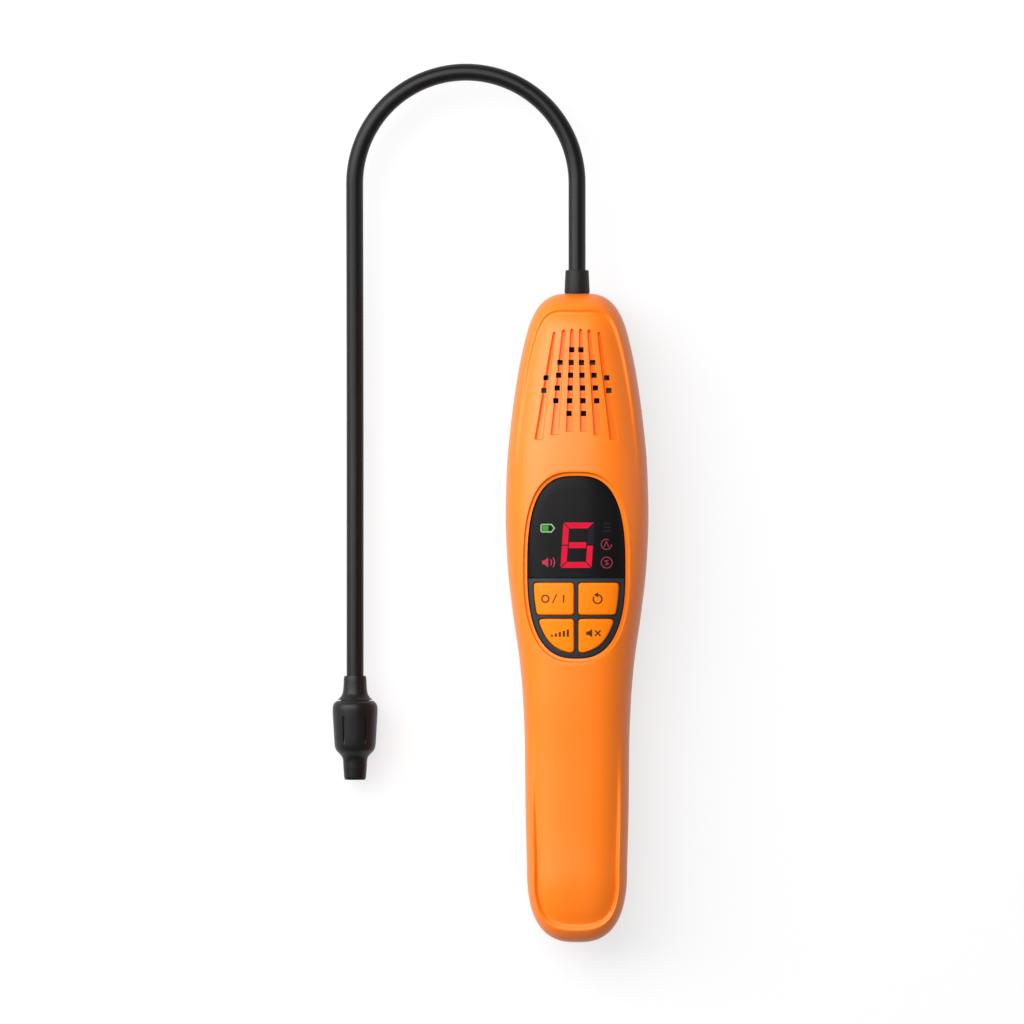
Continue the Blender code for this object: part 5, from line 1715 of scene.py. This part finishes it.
@dataclass
class Display:
    """What lights up behind the window: one seven-segment figure, with small icons on both sides."""

    # The figure's lower left corner, its size, its segments' thickness and gaps, and its lean, all in mm.
    corner_mm: Point = (-4.95, 15.6)
    wide: float = 9.75
    tall: float = 14.2
    thick: float = 1.84
    gap: float = 0.17
    slant: float = 0.95
    # A segment's mitred tip keeps this many gaps from the corner.
    tip_gaps: float = 1.4
    # The pen for the battery, the speaker's waves and the two round icons.
    battery_pen: float = 0.36
    wave_pen: float = 0.34
    ring_pen: float = 0.3

    def place(self, points: Profile) -> Ring:
        """The figure's own points, in millimetres, leaned over and put in its place."""
        x0, y0 = self.corner_mm
        return [Vector((x0 + x + self.slant * y / self.tall, y0 + y)) * MM for x, y in points]

    def segments(self) -> tuple[list[Ring], list[Ring]]:
        """The lit and the unlit segments of a six, mitred at the corners.

        Returns:
            The lit segments' outlines and the unlit one's.
        """
        w, h, t, g = self.wide, self.tall, self.thick, self.gap
        middle, tip = h / 2, self.tip_gaps * g
        top = [(tip, h), (w - tip, h), (w - t - g, h - t), (t + g, h - t)]
        bottom = [(tip, 0.0), (t + g, t), (w - t - g, t), (w - tip, 0.0)]
        left_high = [(0.0, middle + g), (t, middle + g), (t, h - t - g), (0.0, h - tip)]
        left_low = [(0.0, tip), (t, t + g), (t, middle - g), (0.0, middle - g)]
        right_low = [(w, tip), (w, middle - g), (w - t, middle - g), (w - t, t + g)]
        right_high = [(w, middle + g), (w, h - tip), (w - t, h - t - g), (w - t, middle + g)]
        bar_gap = 2 * g
        centre = [(t + bar_gap, middle - t / 2), (w - t - bar_gap, middle - t / 2)]
        centre += [(x, middle + t / 2) for x, _ in reversed(centre)]
        lit = [top, bottom, left_high, left_low, right_low, centre]
        return [self.place(shape) for shape in lit], [self.place(right_high)]

    def battery(self) -> tuple[list[Ring], list[Ring]]:
        """The battery icon: its outline with a pointed end, and its charge.

        Returns:
            The outline's stroke and the charge.
        """
        low, high, left, right, tip = 26.85, 29.2, -11.05, -7.75, -6.85
        cut, margin, charged = 0.3, 0.35, -8.75
        corners = [(left + cut, low), (right, low), (tip, (low + high) / 2), (right, high)]
        corners += [(left + cut, high), (left, high - cut), (left, low + cut), (left + cut, low)]
        frame_line = [Vector(p) * MM for p in corners]
        charge = bar((left + margin, low + margin), (charged, high - margin))
        return [stroke(frame_line, self.battery_pen)], [charge]

    def speaker(self) -> list[Ring]:
        """The sound icon: a small cone and two waves.

        Returns:
            The closed outlines.
        """
        x, y = -10.7, 17.3
        at = (x + 1.6, y)
        return [
            cone((x, y), (0.6, 1.9), (0.6, 1.55)),
            stroke(arc(at, 1.35, -42, 42, 8), self.wave_pen),
            stroke(arc(at, 2.3, -40, 40, 10), self.wave_pen),
        ]

    def rings(self) -> list[Ring]:
        """Two round icons: an open ring with a chevron, and a closed ring with a zigzag.

        Returns:
            The closed outlines.
        """
        first, second = (9.45, 22.95), (9.55, 17.25)
        chevron = [(-0.75, -0.8), (0.0, 0.85), (0.75, -0.8)]
        zigzag = [(0.6, 0.75), (-0.55, 0.45), (0.55, -0.4), (-0.6, -0.75)]
        lines = [
            arc(first, 1.6, 62, 360, 30),
            [Vector((first[0] + x, first[1] + y)) * MM for x, y in chevron],
            arc(second, 1.72, 90, 449, 36),
            [Vector((second[0] + x, second[1] + y)) * MM for x, y in zigzag],
        ]
        return [stroke(line, self.ring_pen) for line in lines]

    def build(self) -> None:
        """Builds and dresses the figure and its icons."""
        lit, dark = self.segments()
        outline, charge = self.battery()
        faint = [bar((8.5, y), (10.7, y + 0.5)) for y in (26.9, 28.05, 29.2)]
        for name, shapes, finish in (
            ("figure_segments_lit", lit, "lit_red"),
            ("figure_segment_unlit", dark, "unlit"),
            ("icon_battery_outline", outline, "lit_green_pale"),
            ("icon_battery_charge", charge, "lit_green"),
            ("icon_speaker", self.speaker(), "lit_pink"),
            ("icon_rings", self.rings(), "lit_ring"),
            ("icon_bars_unlit", faint, "unlit"),
        ):
            shape = inlay(name, shapes, window_level)
            settle(dress(shape, PALETTE.get(finish)), Body.HOUSING)


@dataclass
class KeyMarks:
    """The printed marks on the keys: a power sign, a turning arrow, rising bars and a crossed speaker."""

    pen: float = 0.46
    slash_share: float = 0.8
    bars: int = 5
    bar_pitch: float = 1.25
    bar_width: float = 0.7
    bar_least: float = 0.6
    bar_rise: float = 0.42

    def power(self) -> list[Ring]:
        """A ring, a slash and a bar, for off and on.

        Returns:
            The closed outlines.
        """
        x, y = -6.8, 5.9
        slash = [Vector((x - 0.65, y - 1.4)) * MM, Vector((x + 0.65, y + 1.4)) * MM]
        return [
            stroke(arc((x - 2.9, y), 1.1, 90, 449, 32), self.pen),
            stroke(slash, self.pen * self.slash_share),
            bar((x + 2.6, y - 1.2), (x + 2.6 + self.pen, y + 1.2)),
        ]

    def reset(self) -> list[Ring]:
        """A turning arrow: three quarters of a ring with a head.

        Returns:
            The closed outlines.
        """
        x, y, radius = 6.7, 5.8, 1.35
        head = [(x - 0.2, y + radius + 0.85), (x - 0.2, y + radius - 0.85), (x + 1.2, y + radius)]
        return [
            stroke(arc((x, y), radius, 85, -215, 26), self.pen),
            [Vector((2 * x - px, py)) * MM for px, py in reversed(head)],
        ]

    def level(self) -> list[Ring]:
        """Five bars, each taller than the last.

        Returns:
            The closed outlines.
        """
        x, y = -8.0, -6.0
        made = []
        for k in range(self.bars):
            left = x + k * self.bar_pitch
            made.append(bar((left, y), (left + self.bar_width, y + self.bar_least + k * self.bar_rise)))
        return made

    def mute(self) -> list[Ring]:
        """A speaker with a cross beside it.

        Returns:
            The closed outlines.
        """
        x, y = 3.1, -4.9
        low, high, reach = x + 2.8, x + 4.5, 0.85
        return [
            cone((x, y), (0.75, 1.9), (0.55, 1.35)),
            stroke([Vector((low, y - reach)) * MM, Vector((high, y + reach)) * MM], self.pen),
            stroke([Vector((low, y + reach)) * MM, Vector((high, y - reach)) * MM], self.pen),
        ]

    def build(self) -> None:
        """Builds the four marks, each on its key's body."""
        for name, shapes, body in (
            ("mark_power", self.power(), Body.POWER),
            ("mark_reset", self.reset(), Body.RESET),
            ("mark_level", self.level(), Body.LEVEL),
            ("mark_mute", self.mute(), Body.MUTE),
        ):
            settle(dress(inlay(name, shapes, key_level), PALETTE.get("ink")), body)


@dataclass
class Collar:
    """The tapered collar where the neck enters the housing."""

    bore: float = 3.0 * MM
    base_radius: float = 4.0 * MM
    tip_radius: float = 3.67 * MM
    tip_y: float = 109.3 * MM
    flange_radius: float = 5.0 * MM
    flange_drop: float = 0.9 * MM
    flange_thick: float = 2.0 * MM
    # The collar's base stands this far above the housing, and its neck in the hole is this much thinner.
    base_rise: float = 0.4 * MM
    neck_less: float = 0.1 * MM
    soft: float = 0.3 * MM
    sides: int = 64

    def build(self) -> bpy.types.Object:
        """Builds and dresses the collar.

        Returns:
            The collar.
        """
        base = FORM.top_y + self.base_rise
        inside = FORM.top_y - FORM.wall - self.flange_drop
        low = inside - self.flange_thick
        neck = self.base_radius - self.neck_less
        profile = [(self.bore, low), (self.flange_radius, low), (self.flange_radius, inside)]
        profile += [(neck, inside), (neck, base), (self.base_radius, base)]
        profile += [(self.tip_radius, self.tip_y), (self.bore, self.tip_y)]
        profile = softened(profile, self.soft)
        at = Vector((0.0, 0.0, FORM.part_level))
        collar = turned("neck_collar_moulding", profile, Axis.Y, at, self.sides)
        dress(collar, PALETTE.get("collar"))
        return settle(collar, Body.HOUSING, ["neck_collar"])


@dataclass
class Gooseneck:
    """The stay-put neck: out of the housing, over by half a turn and down to the probe."""

    radius: float = 2.7 * MM
    span: float = 70.3 * MM
    arc_y: float = 136.6 * MM
    start_y: float = 95.3 * MM
    end_y: float = -22.0 * MM
    level_y: float = 45.0 * MM
    probe_level: float = 7.13 * MM
    sides: int = 28
    rise_steps: int = 8
    arc_steps: int = 64
    drop_steps: int = 60

    def line(self) -> Ring:
        """The neck's centre line.

        Returns:
            The line's points, from the housing to the probe.
        """
        bend = self.span / 2
        flat = []
        for i in range(self.rise_steps):
            flat.append(Vector((0.0, self.start_y + (self.arc_y - self.start_y) * i / self.rise_steps)))
        for i in range(self.arc_steps + 1):
            angle = math.pi * i / self.arc_steps
            flat.append(Vector((bend * (math.cos(angle) - 1), self.arc_y + bend * math.sin(angle))))
        for i in range(1, self.drop_steps + 1):
            y = self.arc_y + (self.end_y - self.arc_y) * i / self.drop_steps
            flat.append(Vector((-self.span, y)))
        fall_from = self.arc_y - self.start_y
        fall_to = fall_from + math.pi * bend + self.arc_y - self.level_y
        points, length = [], 0.0
        for i, p in enumerate(flat):
            length += (p - flat[i - 1]).length if i else 0.0
            share = smooth_step((length - fall_from) / (fall_to - fall_from))
            level = FORM.part_level + (self.probe_level - FORM.part_level) * share
            points.append(Vector((p.x, p.y, level)))
        return points

    def section(self, at: Vector, run: Vector, radius: float) -> Ring:
        """The neck's round section at a point of its line.

        Args:
            at: the point.
            run: the line's direction there.
            radius: the section's radius.

        Returns:
            The ring's points.
        """
        side = run.cross(Vector((0.0, 0.0, 1.0))).normalized()
        up = side.cross(run).normalized()
        ring = []
        for k in range(self.sides):
            angle = math.tau * k / self.sides
            ring.append(at + side * (radius * math.cos(angle)) + up * (radius * math.sin(angle)))
        return ring

    def build(self) -> bpy.types.Object:
        """Builds and dresses the neck, which bends between the housing and the probe.

        Returns:
            The neck.
        """
        line = self.line()
        rings = []
        for i, at in enumerate(line):
            run = (line[min(i + 1, len(line) - 1)] - line[max(i - 1, 0)]).normalized()
            rings.append(self.section(at, run, self.radius))
        neck = finish_mesh(loft_between(rings), "gooseneck_sleeve")
        dress(neck, PALETTE.get("sleeve"))
        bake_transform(neck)
        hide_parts("gooseneck")
        log.info("%s: %d faces", neck.name, len(neck.data.polygons))
        return neck


@dataclass
class Probe:
    """The probe's head on the neck's end and the cap with its grip grooves and nozzle."""

    x: float = -70.3 * MM
    level: float = 7.13 * MM
    # Radius and place of the head's and of the cap's outer profile, towards the nozzle.
    socket_mm: tuple[Point, ...] = (
        (3.42, -18.7), (3.6, -19.8), (3.68, -21.7), (3.86, -23.6), (4.17, -24.6), (4.77, -25.5),
        (5.55, -26.3),
    )
    cap_mm: tuple[Point, ...] = (
        (5.87, -26.6), (6.71, -27.4), (7.06, -28.4), (7.13, -29.3), (7.07, -31.2), (6.84, -35.0),
        (6.55, -39.8), (6.24, -41.6), (5.72, -42.5), (4.76, -43.5), (4.10, -44.4), (3.83, -45.4),
        (3.73, -47.3), (3.59, -49.1), (3.42, -51.0), (3.1, -51.5),
    )
    profile_steps: int = 3
    head_sides: int = 64
    cap_sides: int = 72
    socket_bore: float = 3.0 * MM
    socket_floor: float = -22.3 * MM
    spigot_radius: float = 4.6 * MM
    spigot_end: float = -33.0 * MM
    spigot_soft: float = 0.3 * MM
    room_end: float = -41.2 * MM
    nozzle_bore: float = 2.3 * MM
    # The bore's mouth is this much wider, and narrows over this length.
    nozzle_flare: Point = (0.2 * MM, 0.25 * MM)
    throat: float = -43.6 * MM
    grip_count: int = 6
    grip_steps: int = 10
    grip_half_width: float = 0.42 * MM
    grip_floor_share: float = 0.5
    grip_depth: float = 0.4 * MM
    grip_y: Point = (-40.3 * MM, -31.2 * MM)
    # How steeply a grip groove deepens, and from what share on, at the nozzle's end and at the head's.
    grip_low_end: Point = (6.0, 0.15)
    grip_high_end: Point = (9.0, 0.3)
    # The grip groove's walls stand upright from this far below the cap's surface.
    grip_wall: float = 0.05 * MM

    def at(self) -> Vector:
        """A point of the probe's axis."""
        return Vector((self.x, 0.0, self.level))

    def smooth_outline(self, stations_mm: tuple[Point, ...]) -> Profile:
        """The outer profile through its stations, in metres, with enough points to look round.

        Args:
            stations_mm: radius and place pairs, in millimetres.

        Returns:
            The profile.
        """
        made = []
        count = len(stations_mm)
        for i in range(count - 1):
            p0 = Vector(stations_mm[max(i - 1, 0)])
            p1, p2 = Vector(stations_mm[i]), Vector(stations_mm[i + 1])
            p3 = Vector(stations_mm[min(i + 2, count - 1)])
            for k in range(self.profile_steps):
                t = k / self.profile_steps
                p = p1 * 2 + (p2 - p0) * t
                p = p + (p0 * 2 - p1 * 5 + p2 * 4 - p3) * t**2
                p = (p + (p1 * 3 - p0 - p2 * 3 + p3) * t**3) / 2
                made.append((p.x * MM, p.y * MM))
        made.append((stations_mm[-1][0] * MM, stations_mm[-1][1] * MM))
        return made

    def build_head(self) -> bpy.types.Object:
        """Builds and dresses the head with its socket for the neck and its spigot for the cap.

        Returns:
            The head.
        """
        mouth, floor = self.socket_mm[0][1] * MM, self.socket_floor
        outer = self.smooth_outline(self.socket_mm)
        shoulder, end = outer[-1][1], self.spigot_end
        spigot = [(self.spigot_radius, shoulder), (self.spigot_radius, end), (0.0, end)]
        profile = [(0.0, floor), (self.socket_bore, floor), (self.socket_bore, mouth)] + outer
        profile += softened(spigot, self.spigot_soft)
        head = turned("probe_head_moulding", profile, Axis.Y, self.at(), self.head_sides)
        dress(head, PALETTE.get("probe"))
        return settle(head, Body.PROBE, ["probe_head"])

    def cap_radius(self, y: float) -> float:
        """Outer radius of the cap at a height."""
        return smooth_value([(place, radius) for radius, place in reversed(self.cap_mm)], y)

    def grip_tool(self, index: int) -> bpy.types.Object:
        """Cuts one shallow groove along the cap, deeper at its head end.

        Args:
            index: the groove's number, counted round the cap.

        Returns:
            The tool.
        """
        low, high = self.grip_y
        low_rate, low_from = self.grip_low_end
        high_rate, high_from = self.grip_high_end
        rings = []
        half = self.grip_half_width
        foot = half * self.grip_floor_share
        for k in range(self.grip_steps + 1):
            share = k / self.grip_steps
            y = low + (high - low) * share
            radius = self.cap_radius(y)
            depth = self.grip_depth * smooth_step(share * low_rate + low_from)
            floor = radius - depth * smooth_step((1 - share) * high_rate + high_from)
            wall, top = radius - self.grip_wall, radius + MM
            section = [(-half, top), (-half, wall), (-foot, floor), (foot, floor), (half, wall), (half, top)]
            rings.append([Vector((x, y, z)) for x, z in section])
        mesh = loft_between(rings)
        turn = Matrix.Rotation(math.tau * (index + 0.5) / self.grip_count, 4, "Y")
        bmesh.ops.transform(mesh, matrix=Matrix.Translation(self.at()) @ turn, verts=mesh.verts)
        return finish_mesh(mesh, f"grip_tool_{index}")

    def build_cap(self) -> bpy.types.Object:
        """Builds and dresses the cap, which pulls off to change the filter.

        Returns:
            The cap.
        """
        outer = self.smooth_outline(self.cap_mm)
        room, bore = self.spigot_radius + CLEARANCE, self.nozzle_bore
        wider, along = self.nozzle_flare
        end = outer[-1][1]
        profile = [(room, outer[0][1])] + outer
        profile += [(bore + wider, end), (bore, end + along), (bore, self.throat), (room, self.room_end)]
        cap = turned("probe_cap_moulding", profile, Axis.Y, self.at(), self.cap_sides)
        carve(cap, [self.grip_tool(i) for i in range(self.grip_count)])
        dress(cap, PALETTE.get("probe"))
        return settle(cap, Body.CAP, ["probe_cap"])


INNER_FINISHES = {
    "switch_": "resin",
    "main_board": "board",
    # The board's screws take a dark grey that paints the shade inside the grille's holes.
    "board_screw_": "shade_painted_steel",
    "digit_module": "resin",
    "controller_chip": "resin",
    "sensor_connector": "resin",
    "sounder": "resin",
    "housing_screw_": "steel",
    "battery_tray": "tray",
    "cell_": "jacket",
    "contact_plate_": "steel",
    "sensor_can": "steel",
    "filter_disc": "felt",
}


def dress_inner_nodes() -> None:
    """Gives each CAD piece inside the housing its finish."""
    for start, finish in INNER_FINISHES.items():
        for name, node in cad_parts.items():
            if name.startswith(start):
                node.data.materials.clear()
                node.data.materials.append(PALETTE.get(finish))
                log.info("%s dressed as %s", name, finish)


@dataclass(frozen=True)
class Lamp:
    """One rectangular soft lamp."""

    name: str
    at: tuple[float, float, float]
    aim: tuple[float, float, float]
    size: Point
    watts: float

    def build(self) -> None:
        """Hangs the lamp, turned to the point that it faces."""
        data = bpy.data.lights.new(self.name, "AREA")
        data.shape = "RECTANGLE"
        data.size, data.size_y = self.size
        data.energy = self.watts
        lamp = bpy.data.objects.new(self.name, data)
        lamp.location = self.at
        lamp.rotation_euler = (Vector(self.aim) - Vector(self.at)).to_track_quat("-Z", "Y").to_euler()
        bpy.context.scene.collection.objects.link(lamp)


@dataclass
class Studio:
    """The pale floor, the soft lamps and the camera at the photograph's angle."""

    frame_width: float = 322.6 * MM
    centre: tuple[float, float, float] = (-20.5 * MM, 33.1 * MM, 17.0 * MM)
    lens: float = 400.0
    sensor: float = 36.0
    clip: Point = (0.05, 20.0)
    tilt_deg: float = 1.2
    floor_radius: float = 9.0
    floor_sides: int = 64
    floor_edge: float = 1.3
    floor_drop: float = 0.05 * MM
    floor_colour: str = "868686"
    floor_roughness: float = 0.9
    floor_specular: float = 0.1
    # The floor's added light near the detector and far from it, and where it starts and stops to rise.
    floor_lift: float = 0.73
    far_lift: float = 0.97
    lit_from: float = 0.5
    lit_to: float = 2.4
    # A broad lamp overhead, one at the left and a low strip at the right.
    lamps: tuple[Lamp, ...] = (
        Lamp("top_lamp", (-0.4, 0.7, 1.2), (-0.4, 0.7, 0.0), (1.0, 1.4), 18.5),
        Lamp("side_lamp", (-0.85, 0.35, 0.62), (0.0, 0.0, 0.0), (0.85, 0.85), 11.2),
        Lamp("strip_lamp", (1.1, 0.1, 0.11), (0.0, 0.0, 0.02), (0.16, 1.2), 1.1),
    )
    world_strength: float = 0.27

    def build_floor(self) -> None:
        """Lays the floor: matt card with a raised far edge, seen brighter than it is lit."""
        mesh = bmesh.new()
        bmesh.ops.create_circle(mesh, cap_ends=True, segments=self.floor_sides, radius=self.floor_radius)
        rim = [edge for edge in mesh.edges if edge.is_boundary]
        wall = bmesh.ops.extrude_edge_only(mesh, edges=rim)["geom"]
        upper = [item for item in wall if isinstance(item, bmesh.types.BMVert)]
        bmesh.ops.translate(mesh, verts=upper, vec=(0.0, 0.0, self.floor_edge))
        bmesh.ops.translate(mesh, verts=mesh.verts, vec=(0.0, 0.0, -self.floor_drop))
        floor = finish_mesh(mesh, "studio_floor")
        if min(polygon.normal.z for polygon in floor.data.polygons) < -0.5:
            floor.data.flip_normals()
        material, tree, shader = new_material("matt_white_card")
        shader.inputs["Base Color"].default_value = linear(self.floor_colour)
        shader.inputs["Roughness"].default_value = self.floor_roughness
        shader.inputs["Specular IOR Level"].default_value = self.floor_specular
        path = add_node(tree, "ShaderNodeLightPath")
        seen = path.outputs["Is Camera Ray"]
        for ray in ("Is Glossy Ray", "Is Transmission Ray"):
            both = add_node(tree, "ShaderNodeMath", {"operation": "MAXIMUM"})
            tree.links.new(seen, both.inputs[0])
            tree.links.new(path.outputs[ray], both.inputs[1])
            seen = both.outputs["Value"]
        place = add_node(tree, "ShaderNodeTexCoord").outputs["Object"]
        away = add_node(tree, "ShaderNodeVectorMath", {"operation": "LENGTH"})
        tree.links.new(place, away.inputs[0])
        settings = {"From Min": self.lit_from, "From Max": self.lit_to}
        settings |= {"To Min": self.floor_lift, "To Max": self.far_lift}
        share = add_node(tree, "ShaderNodeMapRange", settings, {"Value": away.outputs["Value"]})
        lift = add_node(tree, "ShaderNodeMath", {"operation": "MULTIPLY"})
        tree.links.new(seen, lift.inputs[0])
        tree.links.new(share.outputs["Result"], lift.inputs[1])
        shader.inputs["Emission Color"].default_value = (1.0, 1.0, 1.0, 1.0)
        tree.links.new(lift.outputs["Value"], shader.inputs["Emission Strength"])
        floor.data.materials.append(material)

    def build_lamps(self) -> None:
        """Hangs the lamps in an even pale room."""
        for lamp in self.lamps:
            lamp.build()
        world = bpy.data.worlds.new("pale_room")
        world.use_nodes = True
        room = world.node_tree.nodes["Background"]
        room.inputs["Color"].default_value = (1.0, 1.0, 1.0, 1.0)
        room.inputs["Strength"].default_value = self.world_strength
        bpy.context.scene.world = world

    def build_camera(self) -> None:
        """Sets the camera above the front face, a degree or so to the right of straight on."""
        data = bpy.data.cameras.new("photo_camera")
        data.lens = self.lens
        data.sensor_width = self.sensor
        data.clip_start, data.clip_end = self.clip
        camera = bpy.data.objects.new("photo_camera", data)
        distance = self.frame_width * self.lens / self.sensor
        tilt = math.radians(self.tilt_deg)
        away = Vector((math.sin(tilt), 0.0, math.cos(tilt)))
        side = Vector((math.cos(tilt), 0.0, -math.sin(tilt)))
        up = Vector((0.0, 1.0, 0.0))
        place = Matrix((side, up, away)).transposed().to_4x4()
        place.translation = Vector(self.centre) + away * distance
        camera.matrix_world = place
        bpy.context.scene.collection.objects.link(camera)
        bpy.context.scene.camera = camera

    def build(self) -> None:
        """Builds the studio."""
        self.build_floor()
        self.build_lamps()
        self.build_camera()
        bpy.context.scene.view_settings.view_transform = "Standard"


def main() -> None:
    """Builds the pieces in order, then the floor, lamps and camera."""
    logging.basicConfig(level=logging.INFO, format="%(message)s")
    FrontShell().build()
    rear = RearShell()
    rear.build()
    rear.build_door()
    OvalPanel().build()
    Display().build()
    Keycap("key_power", Side.LEFT, True, Body.POWER).build()
    Keycap("key_reset", Side.RIGHT, True, Body.RESET).build()
    Keycap("key_level", Side.LEFT, False, Body.LEVEL).build()
    Keycap("key_mute", Side.RIGHT, False, Body.MUTE).build()
    KeyMarks().build()
    Collar().build()
    Gooseneck().build()
    probe = Probe()
    probe.build_head()
    probe.build_cap()
    dress_inner_nodes()
    Studio().build()


if __name__ == "__main__":
    main()
